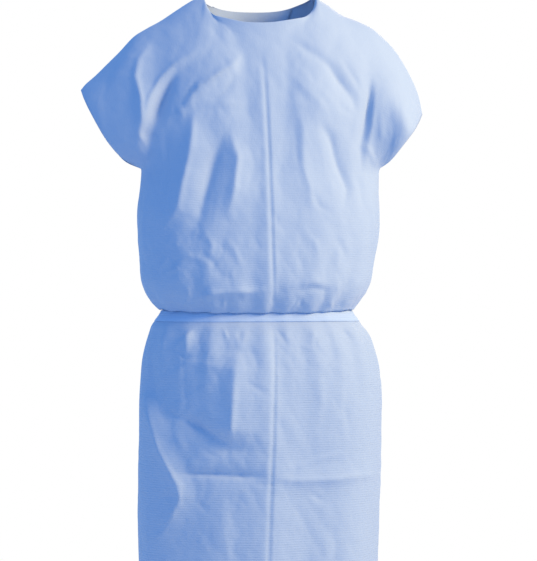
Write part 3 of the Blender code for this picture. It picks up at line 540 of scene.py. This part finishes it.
# Where the cloth is crumpled more: right, down, half width, half height, how much more
CRUMPLED_PATCHES = {
    "front": ((195, 262, 42, 34, 2.6), (186, 112, 20, 16, 1.8), (335, 292, 40, 16, 1.8),
              (215, 300, 60, 12, 1.6), (205, 450, 50, 90, 1.3), (300, 345, 60, 20, 1.0)),
    "back": ((190, 258, 44, 34, 2.0), (330, 256, 44, 34, 1.8), (300, 430, 50, 60, 0.6)),
}
COLUMN_SPLIT = {"front": 4, "back": 5}        # finer columns for each one of the table
ROW_STEP = 4.1                 # largest step between rows, in mm
UPPER_SPLIT = 5                # finer rows for each grid step above the underarm
TOP_SPACING = 1.6              # rows lie closer towards the top with this power
CREST = 0.9                    # how round the crest of a fold or crease is, in steps of the view
JOIN_REACH = 12                # rows smoothed each side of the row at the underarm
JOIN_ROUNDS = 24
JOIN_POWER = 8                 # the smoothing dies out towards the side seams with this power
# The corner between neck and shoulder softens across the cloth: rounds, where this starts and ends as
# shares of the way down, and how far it reaches to each side
CORNER_ROUNDS = 160
CORNER_FROM = (0.02, 0.14)
CORNER_TO = (0.35, 0.8)
CORNER_HALF = 0.14
# Flat sizes in metres, and the place on the laminate that the belt is cut from
SHEET_WIDTH = 0.762
SHEET_LENGTH = 1.067
BELT_WIDTH = 0.021
BELT_PLACE = 0.3
TAIL_PLACE = 0.7
KNOT_SIZE = (15, 8, 12)        # half width, half depth and half height, in mm
KNOT_GRID = (48, 26)           # points round the knot and rows down it
# Grooves of the knot: slope of the groove in radians, its offset, depth and width as shares of the size
KNOT_GROOVES = ((0.6, 0.38, 0.16, 0.10), (0.6, -0.42, 0.16, 0.10), (-0.9, 0.1, 0.06, 0.08),
                (0.6, 0.0, 0.04, 0.06))
BAND_STAND = 1.5               # how far the belt's band stands out from the gown, in mm
BAND_UNEVEN = 0.6              # how much of its unevenness shows
BAND_PRESSED = 0.85            # how far its lower edge is pressed in, as a share
BAND_SWAY = 0.7 * MM
# A hanging end: what remains at the knot of its width and of its distance from the middle, each with the
# share of its length that this takes up
TAIL_PINCH = (0.42, 0.22)
TAIL_NEAR = (0.55, 0.3)
TAIL_SWAY = 0.006              # how far it sways, in columns
TAIL_STAND, TAIL_WAVE, TAIL_TWIST, TAIL_CURL = 1.6, 1.3, 0.9, 3.0     # in mm
TAIL_POINTS = 9                # points across it
# Ribs of the laminate, in metres
RIB_PITCH = 0.004
RIB_WANDER = 0.0016            # how far a rib strays
RIBS_FROM = -0.16              # place down the cloth from the underarm where the ribs are faintest
RIBS_FULL = 0.40               # and where they are clear
RIBS_LEAST = 0.04              # what is left of them at the faintest
RELIEF = (0.0018, 0.00025, 0.00055, 0.00024)   # of the cloudy waves, the grain, the crepe and the ribs
CLOTH_SURFACE = (("Roughness", 0.8), ("Specular IOR Level", 0.3), ("Sheen Weight", 0.25),
                 ("Sheen Roughness", 0.5))
# Ends of the cloth's colour mix: the ribs' troughs lean to the darker one as painted shade, and the fibre's
# mottle spreads the rest between them
CLOTH_DARK = (0.33, 0.46, 0.70, 1.0)
CLOTH_LIGHT = (0.43, 0.56, 0.78, 1.0)
# The belt's colours are the gown's made lighter and bluer: painted fill light, standing in for the fill that
# the overhang keeps off the band
BELT_DARK_WITH_PAINTED_FILL = (0.36, 0.52, 0.82, 1.0)
BELT_LIGHT_WITH_PAINTED_FILL = (0.48, 0.64, 0.90, 1.0)
VIEW_SIZE = (537, 561)
# Lights: place, size, energy and colour
KEY = ((1.95, -1.45, 0.8), 1.05, 101, (1.0, 0.69, 0.29))
BACK = ((1.2, 3.0, 1.2), 1.4, 75, (1.0, 0.72, 0.36))
FILL_COLOUR = (0.31, 0.57, 1.0, 1.0)
FILL_STRENGTH = 0.84
FLOOR = -1.46
FLOOR_RADIUS = 1.3
FLOOR_SIDES = 64
FLOOR_SURFACE = (("Base Color", (0.86, 0.87, 0.89, 1.0)), ("Roughness", 0.9))


def value_noise(u, v, cell, seed):
    """Smooth noise between -1 and 1 at places u, v, with a random value at each corner of a cell."""
    table = np.random.default_rng(seed).uniform(-1, 1, (64, 64))
    x = u / cell
    y = v / cell
    left = np.floor(x).astype(int)
    low = np.floor(y).astype(int)
    share_x = x - left
    share_y = y - low
    share_x = share_x * share_x * (3 - 2 * share_x)
    share_y = share_y * share_y * (3 - 2 * share_y)
    a = table[left % 64, low % 64]
    b = table[(left + 1) % 64, low % 64]
    c = table[left % 64, (low + 1) % 64]
    d = table[(left + 1) % 64, (low + 1) % 64]
    return (a + (b - a) * share_x) * (1 - share_y) + (c + (d - c) * share_x) * share_y


def outward_normals(side, points):
    """Unit normals of a grid whose rows run down and whose columns run to +X."""
    down = np.gradient(points, axis=0)
    across = np.gradient(points, axis=1)
    normal = np.cross(down, across) if side == "front" else np.cross(across, down)
    return normal / np.linalg.norm(normal, axis=-1, keepdims=True)


def split_steps(values, parts):
    """The values with each step between them cut into equal parts."""
    values = np.asarray(values, float)
    pieces = [np.linspace(a, b, parts, endpoint=False) for a, b in zip(values[:-1], values[1:])]
    return np.r_[np.concatenate(pieces), values[-1]]


def fine_rows():
    """Places in the table of rows, closer together where a row step is long."""
    table = np.asarray(ROWS)
    places = []
    for number, (above, below) in enumerate(zip(table[:-1], table[1:])):
        run = max(math.hypot(below[0] - above[0], below[3] - above[3]), 1)
        count = max(2, math.ceil(run / ROW_STEP))
        places.append(np.linspace(number, number + 1, count, endpoint=False))
    return np.r_[np.concatenate(places), len(table) - 1]


def smoothed(values, rounds):
    """The values with each row drawn towards the ones above and below it, this many times."""
    values = values.copy()
    for _ in range(rounds):
        values[1:-1] = (values[:-2] + 2 * values[1:-1] + values[2:]) / 4
    return values


def crumple(side, cloth, place):
    """Height in mm of the small sharp-edged unevenness that the cloth keeps from its packing."""
    u = cloth[..., 0] / MM + CRUMPLE_SHIFT
    v = cloth[..., 1] / MM + CRUMPLE_SHIFT
    patch = sum(more * np.exp(-((place[..., 0] - right) / wide) ** 2 - ((place[..., 1] - down) / high) ** 2)
                for right, down, wide, high, more in CRUMPLED_PATCHES[side])
    height = np.zeros(u.shape)
    for size, rise, turn, seed in CRUMPLES:
        across = u * math.cos(turn) + v * math.sin(turn)
        along = (v * math.cos(turn) - u * math.sin(turn)) * CRUMPLE_STRETCH
        rough = rise * (np.abs(value_noise(across, along, size, seed + SIDE_SEED[side])) - CRUMPLE_LEVEL)
        height += rough * (1 + patch * (size < FINE_CRUMPLE))
    return height


def short_crease(place, *row):
    """Height in mm of one short crease at places in the view plane."""
    start_right, start_down, right, down, end_right, end_down, height, first_width, other_width = row
    points = ((start_right, start_down, 0), (right, down, height), (end_right, end_down, 0))
    return fold_height(place, points, first_width, other_width)


def soft_surface(side, columns, shares, rows):
    """Points in mm and normals of one side without folds, soft at the neck corners and the underarm row."""
    points = np.concatenate([shoulder_rows(side, columns, shares), body_rows(side, columns, rows)])
    upper = points[:len(shares)]
    across = smoothed(upper.swapaxes(0, 1), CORNER_ROUNDS).swapaxes(0, 1)
    below = smooth_step(*CORNER_FROM, shares) * (1 - smooth_step(*CORNER_TO, shares))
    beside = 1 - smooth_step(CORNER_HALF, 2 * CORNER_HALF, np.abs(np.abs(columns) - NECK_SHARE))
    upper += (across - upper) * (below[:, None] * beside[None])[..., None]
    near = np.s_[len(shares) - JOIN_REACH:len(shares) + JOIN_REACH]
    inner = (1 - np.abs(columns) ** JOIN_POWER)[None, :, None]
    points[near] += (smoothed(points[near], JOIN_ROUNDS) - points[near]) * inner
    normals = outward_normals(side, points)
    normals[near] = smoothed(normals[near], JOIN_ROUNDS)
    return points, normals


def cloth_places(points, columns, underarm):
    """Places on the flat cloth in metres: across from its left edge, and down from the underarm row."""
    across = (columns - columns[0]) * SHEET_WIDTH / 2
    steps = np.linalg.norm(np.diff(points, axis=0), axis=-1)
    steps[underarm:] = steps[underarm:].mean(axis=1, keepdims=True)
    down = np.concatenate([np.zeros((1, len(columns))), np.cumsum(steps, axis=0)]) * MM
    down -= down[underarm:underarm + 1]
    return np.stack([np.broadcast_to(across, down.shape), down], axis=-1)


def cloth_grid(side, columns):
    """Points, normals and cloth coordinates of one side of the gown, in metres, with its folds."""
    shares = (split_steps(np.arange(UPPER_ROWS + 1), UPPER_SPLIT)[:-1] / UPPER_ROWS) ** TOP_SPACING
    rows = fine_rows()
    points, normals = soft_surface(side, columns, shares, rows)
    cloth = cloth_places(points, columns, len(shares))
    place = in_view(points if side == "front" else points * np.array([1, 0, 1]))
    folds = sum(fold_height(place, *fold) for fold in FOLDS[side])
    creases = sum(fold_height(place, *crease) for crease in CREASES[side])
    creases = creases + sum(short_crease(place, *row) for row in SHORT_CREASES[side])
    height = folds + creases * CREASE_DEPTH[side] + crumple(side, cloth, place)
    off_seam = smooth_step(0, FADE_AT_SEAM, 1 - np.abs(columns))[None]
    off_top = smooth_step(0, FADE_AT_TOP, np.concatenate([shares, np.ones(len(rows))]))[:, None]
    row_place = np.concatenate([np.full(len(shares), -1.0), rows])[:, None]
    near_belt = (smooth_step(BELT_TOP_ROW - 5, BELT_TOP_ROW - 4, row_place)
                 * (1 - smooth_step(BELT_END_ROW + 1, BELT_END_ROW + 2, row_place)))
    height = height * off_seam * off_top * (1 - near_belt)
    points = (points + normals * height[..., None]) * MM
    return points, outward_normals(side, points), cloth


def add_object(name, data):
    """Put an object with this mesh, light or camera in the scene."""
    made = bpy.data.objects.new(name, data)
    bpy.context.scene.collection.objects.link(made)
    return made


def shell(name, points, normals, cloth, flip):
    """Thin closed sheet from a grid of outer points, with cloth coordinates in metres as its UV map."""
    rows, columns = points.shape[:2]
    inner = points - normals * CLOTH
    vertices = np.concatenate([points.reshape(-1, 3), inner.reshape(-1, 3)])
    number = np.arange(rows * columns).reshape(rows, columns)
    a, b, c, d = number[:-1, :-1], number[1:, :-1], number[1:, 1:], number[:-1, 1:]
    top = np.stack([a, b, c, d], axis=-1).reshape(-1, 4)
    bottom = top[:, ::-1] + rows * columns
    rim = np.concatenate([number[:-1, 0], number[-1, :-1], number[:0:-1, -1], number[0, :0:-1]])
    after = np.roll(rim, -1)
    side = np.stack([after, rim, rim + rows * columns, after + rows * columns], axis=-1)
    faces = np.concatenate([top, bottom, side])
    if flip:
        faces = faces[:, ::-1]
    mesh = bpy.data.meshes.new(name)
    mesh.vertices.add(len(vertices))
    mesh.vertices.foreach_set("co", vertices.ravel())
    mesh.loops.add(faces.size)
    mesh.loops.foreach_set("vertex_index", faces.ravel())
    mesh.polygons.add(len(faces))
    mesh.polygons.foreach_set("loop_start", np.arange(0, faces.size, 4))
    mesh.update(calc_edges=True)
    mesh.validate()
    uv = mesh.uv_layers.new(name="cloth")
    flat = np.concatenate([cloth.reshape(-1, 2)] * 2)
    uv.data.foreach_set("uv", flat[faces.ravel()].ravel())
    mesh.polygons.foreach_set("use_smooth", np.arange(len(faces)) < 2 * len(top))
    return add_object(name, mesh)


def node(tree, kind, **values):
    """Add a node of this kind and set its attributes, or its inputs where their names start with "in_"."""
    made = tree.nodes.new("ShaderNode" + kind)
    for name, value in values.items():
        if name.startswith("in_"):
            socket = made.inputs[int(name[3:]) if name[3:].isdigit() else name[3:].replace("_", " ")]
            if hasattr(value, "links"):
                tree.links.new(value, socket)
            else:
                socket.default_value = value
        else:
            setattr(made, name, value)
    return made


def noise(tree, uv, scale, detail, output="Fac", **more):
    """Noise over the cloth, with one scale across it and one down it."""
    place = node(tree, "Mapping", in_Vector=uv, in_Scale=(*scale, 1.0)).outputs[0]
    return node(tree, "TexNoise", in_Vector=place, in_Scale=1.0, in_Detail=detail, **more).outputs[output]


def new_material(name, surface):
    """A material and its shader, with inputs set from a table of names and values."""
    material = bpy.data.materials.new(name)
    material.use_nodes = True
    shader = material.node_tree.nodes["Principled BSDF"]
    for socket, value in surface:
        shader.inputs[socket].default_value = value
    return material, shader


def cloth_material(name, dark, light):
    """Blue tissue laminate: fine horizontal ribs, whose troughs are also darkened in the colour as painted
    shade, a fainter grain down the cloth and mottled fibre.
    """
    material, shader = new_material(name, CLOTH_SURFACE)
    tree = material.node_tree
    uv = node(tree, "UVMap", uv_map="cloth").outputs["UV"]
    wander = noise(tree, uv, (14.0, 60.0), 2.0, "Color")
    push = node(tree, "VectorMath", operation="MULTIPLY_ADD", in_0=wander, in_1=(0.0, RIB_WANDER, 0.0),
                in_2=uv).outputs[0]
    ribs = node(tree, "TexWave", wave_type="BANDS", bands_direction="Y", wave_profile="SIN",
                in_Vector=push, in_Scale=math.pi / 10 / RIB_PITCH, in_Distortion=0.0).outputs["Fac"]
    down = node(tree, "SeparateXYZ", in_Vector=uv).outputs["Y"]
    strength = node(tree, "MapRange", in_Value=down, in_From_Min=RIBS_FROM, in_From_Max=RIBS_FULL,
                    in_To_Min=RIBS_LEAST, in_To_Max=1.0).outputs[0]
    ribs = node(tree, "Math", operation="MULTIPLY", in_0=ribs, in_1=strength).outputs[0]
    crepe = noise(tree, uv, (45.0, 620.0), 3.0, in_Roughness=0.6)
    crepe = node(tree, "Math", operation="MULTIPLY", in_0=crepe, in_1=strength).outputs[0]
    grain = noise(tree, uv, (1000.0, 130.0), 3.0)
    mottle = noise(tree, uv, (420.0, 420.0), 4.0)
    cloud = noise(tree, uv, (16.0, 16.0), 4.0)
    fibre = node(tree, "Math", operation="MULTIPLY_ADD", in_0=mottle, in_1=0.5, in_2=0.1).outputs[0]
    # The ribs darken the colour in their troughs as painted shade; the fibre's mottle is the cloth's own
    # tone
    share = node(tree, "Math", operation="MULTIPLY_ADD", in_0=ribs, in_1=0.2, in_2=fibre).outputs[0]
    colour = node(tree, "Mix", data_type="RGBA", in_Factor=share)
    colour.inputs["A"].default_value = dark
    colour.inputs["B"].default_value = light
    tree.links.new(colour.outputs["Result"], shader.inputs["Base Color"])
    normal = None
    for height, distance in zip((cloud, grain, crepe, ribs), RELIEF):
        bump = node(tree, "Bump", in_Strength=1.0, in_Distance=distance, in_Height=height)
        if normal:
            tree.links.new(normal, bump.inputs["Normal"])
        normal = bump.outputs["Normal"]
    tree.links.new(normal, shader.inputs["Normal"])
    return material


def finish_piece(piece, material, replaced, flat, **facts):
    """Give a piece its material, hang it from the root and hide the solid that it replaces."""
    piece.data.materials.append(material)
    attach(piece, "root")
    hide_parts(replaced)


def nearest(columns, place):
    """Number of the column nearest to a place."""
    return int(np.argmin(np.abs(columns - place)))


def lap_lift(columns):
    """How far the upper back panel stands out over the lower one."""
    return (CAD_WALL + LAP_GAP) * (1 - smooth_step(LAP_EDGE + 0.01, LAP_FADE, np.abs(columns)))


def make_gown(material):
    """The front panel and the two back panels."""
    front_columns = split_steps(FRONT_COLUMNS, COLUMN_SPLIT["front"])
    back_columns = split_steps(BACK_COLUMNS, COLUMN_SPLIT["back"])
    front, front_normals, front_cloth = cloth_grid("front", front_columns)
    back, back_normals, back_cloth = cloth_grid("back", back_columns)
    lower_end = nearest(back_columns, LAP_EDGE)
    upper_end = nearest(back_columns, -LAP_EDGE)
    half = (SHEET_WIDTH / 2 * (1 + LAP_EDGE), SHEET_LENGTH)
    piece = shell("front_panel", front, front_normals, front_cloth, False)
    finish_piece(piece, material, "front", (SHEET_WIDTH, SHEET_LENGTH), held="draped")
    cut = np.s_[:, :lower_end + 1]
    under = shell("back_right_panel", back[cut], back_normals[cut], back_cloth[cut], True)
    finish_piece(under, material, "back_right", half, held="draped")
    cut = np.s_[:, upper_end:]
    raised = back[cut] + back_normals[cut] * lap_lift(back_columns[upper_end:])[None, :, None]
    over = shell("back_left_panel", raised, back_normals[cut], back_cloth[cut], True)
    finish_piece(over, material, "back_left", half, held="draped", rests_on=[under])
    return (front, front_normals), (back, back_normals, back_columns)


def belt_grid(front, back, rows):
    """Points, normals and rise round the gown for these grid rows, from the upper belt end to the lower."""
    points, normals, columns = back
    start = nearest(columns, -TAIL_COLUMNS[1])
    stop = nearest(columns, TAIL_COLUMNS[1])
    lift = lap_lift(columns)
    over = BELT_LAP * (1 - smooth_step(TAIL_COLUMNS[1], BELT_LAP_FADE, np.abs(columns)))
    ring = [points[rows, start:], front[0][rows, -2:0:-1], points[rows, :stop + 1]]
    out = [normals[rows, start:], front[1][rows, -2:0:-1], normals[rows, :stop + 1]]
    rise = [(lift + over)[start:], np.zeros(front[0].shape[1] - 2), lift[:stop + 1]]
    return np.concatenate(ring, axis=1), np.concatenate(out, axis=1), np.concatenate(rise)


def make_belt(material, front, back):
    """The belt's band, its knot behind and its two hanging ends."""
    places = fine_rows()
    first = UPPER_ROWS * UPPER_SPLIT
    rows = first + np.flatnonzero((places >= BELT_TOP_ROW) & (places <= BELT_END_ROW))
    points, normals, rise = belt_grid(front, back, rows)
    normals = normals.copy()
    normals[0, :, 2] = 0
    normals /= np.linalg.norm(normals, axis=-1, keepdims=True)
    run = run_along(points[0])
    down = np.linspace(0, 1, len(rows))[:, None]
    width = np.linalg.norm(points[-1] - points[0], axis=-1).mean()
    along = run[None] / MM
    uneven = value_noise(along, down * 9, 17, 41) * 0.5 + value_noise(along, down * 9, 6, 42) * 0.3
    stand = (BAND_STAND + uneven * BAND_UNEVEN) * (1 - BAND_PRESSED * down ** 3)
    out = rise[None] + CLOTH + stand * MM
    sway = value_noise(along, 0 * down + 3, 70, 43) * BAND_SWAY
    points = points + normals * out[..., None]
    points[..., 2] += sway * (1 - down * 0.3)
    cloth = np.stack([np.broadcast_to(run, uneven.shape), down * width + 0 * uneven + BELT_PLACE], axis=-1)
    band = shell("belt_band", points, normals, cloth, True)
    finish_piece(band, material, "belt", (run[-1], BELT_WIDTH), held="gathered",
                 rests_on=["front_panel", "back_left_panel", "back_right_panel"])
    for name, sign, end, extra, seed in (("belt_tail_left", -1, "left", BELT_LAP, 51),
                                         ("belt_tail_right", 1, "right", 0.0, 61)):
        make_tail(material, back, name, sign, TAIL_END_ROW[end], extra, seed)
    make_knot(material, back, rows)


def at_columns(values, columns, keys):
    """Vectors of a grid at its own column places in each row."""
    return np.array([[[np.interp(key, columns, row[:, axis]) for axis in range(3)] for key in row_keys]
                     for row, row_keys in zip(values, keys)])


def make_tail(material, back, name, sign, end_row, extra, seed):
    """One hanging belt end, narrow under the knot, with a slight twist and sway."""
    grid, normals, columns = back
    places = fine_rows()
    rows = UPPER_ROWS * UPPER_SPLIT + np.flatnonzero((places >= BELT_END_ROW - 0.5) & (places <= end_row))
    middle = sign * sum(TAIL_COLUMNS) / 2
    half = (TAIL_COLUMNS[1] - TAIL_COLUMNS[0]) / 2
    share = np.linspace(0, 1, len(rows))
    spread = half * (TAIL_PINCH[0] + (1 - TAIL_PINCH[0]) * smooth_step(0, TAIL_PINCH[1], share))
    centre = middle * (TAIL_NEAR[0] + (1 - TAIL_NEAR[0]) * smooth_step(0, TAIL_NEAR[1], share))
    centre = centre + TAIL_SWAY * np.sin(share * 5 + seed)
    side = np.linspace(-1, 1, TAIL_POINTS)
    key = centre[:, None] + spread[:, None] * side[None]
    points = at_columns(grid[rows], columns, key)
    facing = at_columns(normals[rows], columns, key)
    lift = lap_lift(key) + BELT_GAP + TAIL_LIFT + CLOTH + extra
    wave = value_noise(share[:, None] * 190 + 0 * key, side[None] * 7 + 0 * key, 26, seed)
    twist = np.sin(share * 4.2 + seed)[:, None] * side[None]
    curl = smooth_step(0.75, 1, share)[:, None]
    stand = TAIL_STAND + TAIL_WAVE * wave + TAIL_TWIST * twist + TAIL_CURL * curl
    points = points + facing * (lift + stand * MM)[..., None]
    run = run_along(points[:, TAIL_POINTS // 2])
    cloth = np.stack([0 * key + run[:, None] + TAIL_PLACE,
                      0 * key + side[None] * BELT_WIDTH / 2 + BELT_PLACE], axis=-1)
    tail = shell(name, points, facing, cloth, True)
    finish_piece(tail, material, "belt", (BELT_WIDTH, run[-1]), held="hung", rests_on=["belt_knot"])


def make_knot(material, back, rows):
    """The knot over the crossing of the belt's ends: a soft lump with the wrap's grooves."""
    grid, normals, columns = back
    middle = nearest(columns, 0)
    row = rows[len(rows) // 2]
    lift = lap_lift(np.zeros(1))[0] + BELT_GAP + BELT_LAP + CLOTH
    centre = grid[row, middle] + normals[row, middle] * (lift + 0.5 * MM)
    out = normals[row, middle] * np.array([1, 1, 0])
    out /= np.linalg.norm(out)
    aside = np.cross(out, [0, 0, 1])
    around, high = KNOT_GRID
    theta = np.linspace(0, 2 * math.pi, around, endpoint=False)
    phi = np.linspace(0.04, math.pi - 0.04, high)
    unit = np.stack([np.outer(np.sin(phi), np.cos(theta)), np.outer(np.sin(phi), np.sin(theta)),
                     np.outer(np.cos(phi), np.ones(around))], axis=-1)
    swell = np.ones(unit.shape[:2])
    for slope, offset, depth, width in KNOT_GROOVES:
        apart = unit[..., 2] * math.cos(slope) - unit[..., 0] * math.sin(slope) - offset
        swell -= depth * np.exp(-(apart / width) ** 2)
    swell += 0.05 * value_noise(unit[..., 0] * 30 + 90, unit[..., 2] * 30 + 90, 9, 77)
    body = unit * swell[..., None] * np.array(KNOT_SIZE) * MM
    points = centre + body[..., :1] * aside + body[..., 1:2] * out + body[..., 2:] * np.array([0, 0, 1])
    number = np.arange(around * high).reshape(high, around)
    after = np.roll(number, -1, axis=1)
    faces = np.stack([number[:-1], number[1:], after[1:], after[:-1]], axis=-1).reshape(-1, 4).tolist()
    faces += [number[0].tolist(), number[-1, ::-1].tolist()]
    mesh = bpy.data.meshes.new("belt_knot")
    mesh.from_pydata(points.reshape(-1, 3).tolist(), [], faces)
    uv = mesh.uv_layers.new(name="cloth")
    down, along = np.divmod(number.ravel(), around)
    flat = np.stack([along / around * 0.06 + 0.2, down / high * 0.05 + 0.3], axis=-1)
    corner = np.empty(len(mesh.loops), int)
    mesh.loops.foreach_get("vertex_index", corner)
    uv.data.foreach_set("uv", flat[corner].ravel())
    mesh.polygons.foreach_set("use_smooth", np.ones(len(mesh.polygons), bool))
    mesh.materials.append(material)
    knot = add_object("belt_knot", mesh)
    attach(knot, "root")
    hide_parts("belt")


def make_light(name, place, size, energy, colour):
    """Square light at a place, turned to the gown."""
    data = bpy.data.lights.new(name, "AREA")
    data.shape = "SQUARE"
    data.size = size
    data.energy = energy
    data.color = colour
    light = add_object(name, data)
    light.location = place
    light.rotation_mode = "QUATERNION"
    light.rotation_quaternion = (Vector((0, 0, VIEW_CENTRE)) - Vector(place)).to_track_quat("-Z", "Y")


def make_camera():
    """Camera at the photograph's angle, straight at its centre."""
    camera = bpy.data.cameras.new("camera")
    camera.sensor_fit = "VERTICAL"
    camera.sensor_height = 24
    camera.lens = camera.sensor_height * VIEW_DISTANCE / (VIEW_SIZE[1] * VIEW_STEP)
    camera.clip_end = 100
    view = add_object("camera", camera)
    across, ahead = map(Vector, VIEW_AXES)
    centre = across * (VIEW_SIZE[0] / 2 - VIEW_ORIGIN[0]) * VIEW_STEP
    centre.z = -(VIEW_SIZE[1] / 2 - VIEW_ORIGIN[1]) * VIEW_STEP
    view.location = centre - ahead * VIEW_DISTANCE
    view.rotation_mode = "QUATERNION"
    view.rotation_quaternion = ahead.to_track_quat("-Z", "Y")
    bpy.context.scene.camera = view


def make_world():
    """Blue fill light all round, and white where the camera sees past the gown."""
    world = bpy.data.worlds.new("studio")
    world.use_nodes = True
    tree = world.node_tree
    fill = tree.nodes["Background"]
    fill.inputs["Color"].default_value = FILL_COLOUR
    fill.inputs["Strength"].default_value = FILL_STRENGTH
    white = node(tree, "Background", in_Color=(1.0, 1.0, 1.0, 1.0), in_Strength=1.0).outputs[0]
    seen = node(tree, "LightPath").outputs["Is Camera Ray"]
    mix = node(tree, "MixShader", in_Fac=seen, in_1=fill.outputs[0], in_2=white).outputs[0]
    tree.links.new(mix, tree.nodes["World Output"].inputs["Surface"])
    bpy.context.scene.world = world


def make_floor():
    """Pale round floor, well below the hem."""
    ring = [(FLOOR_RADIUS * math.cos(turn), FLOOR_RADIUS * math.sin(turn), FLOOR)
            for turn in np.linspace(0, 2 * math.pi, FLOOR_SIDES, endpoint=False)]
    mesh = bpy.data.meshes.new("floor")
    mesh.from_pydata(ring, [], [list(range(FLOOR_SIDES))])
    mesh.materials.append(new_material("floor", FLOOR_SURFACE)[0])
    add_object("floor", mesh)


front_grid, back_grid = make_gown(cloth_material("gown laminate", CLOTH_DARK, CLOTH_LIGHT))
# The belt's laminate is lightened with painted fill light
make_belt(cloth_material("belt laminate with painted fill light", BELT_DARK_WITH_PAINTED_FILL, BELT_LIGHT_WITH_PAINTED_FILL), front_grid, back_grid)
make_camera()
make_world()
make_light("key", *KEY)
make_light("back", *BACK)
make_floor()
bpy.context.scene.view_settings.view_transform = "Standard"
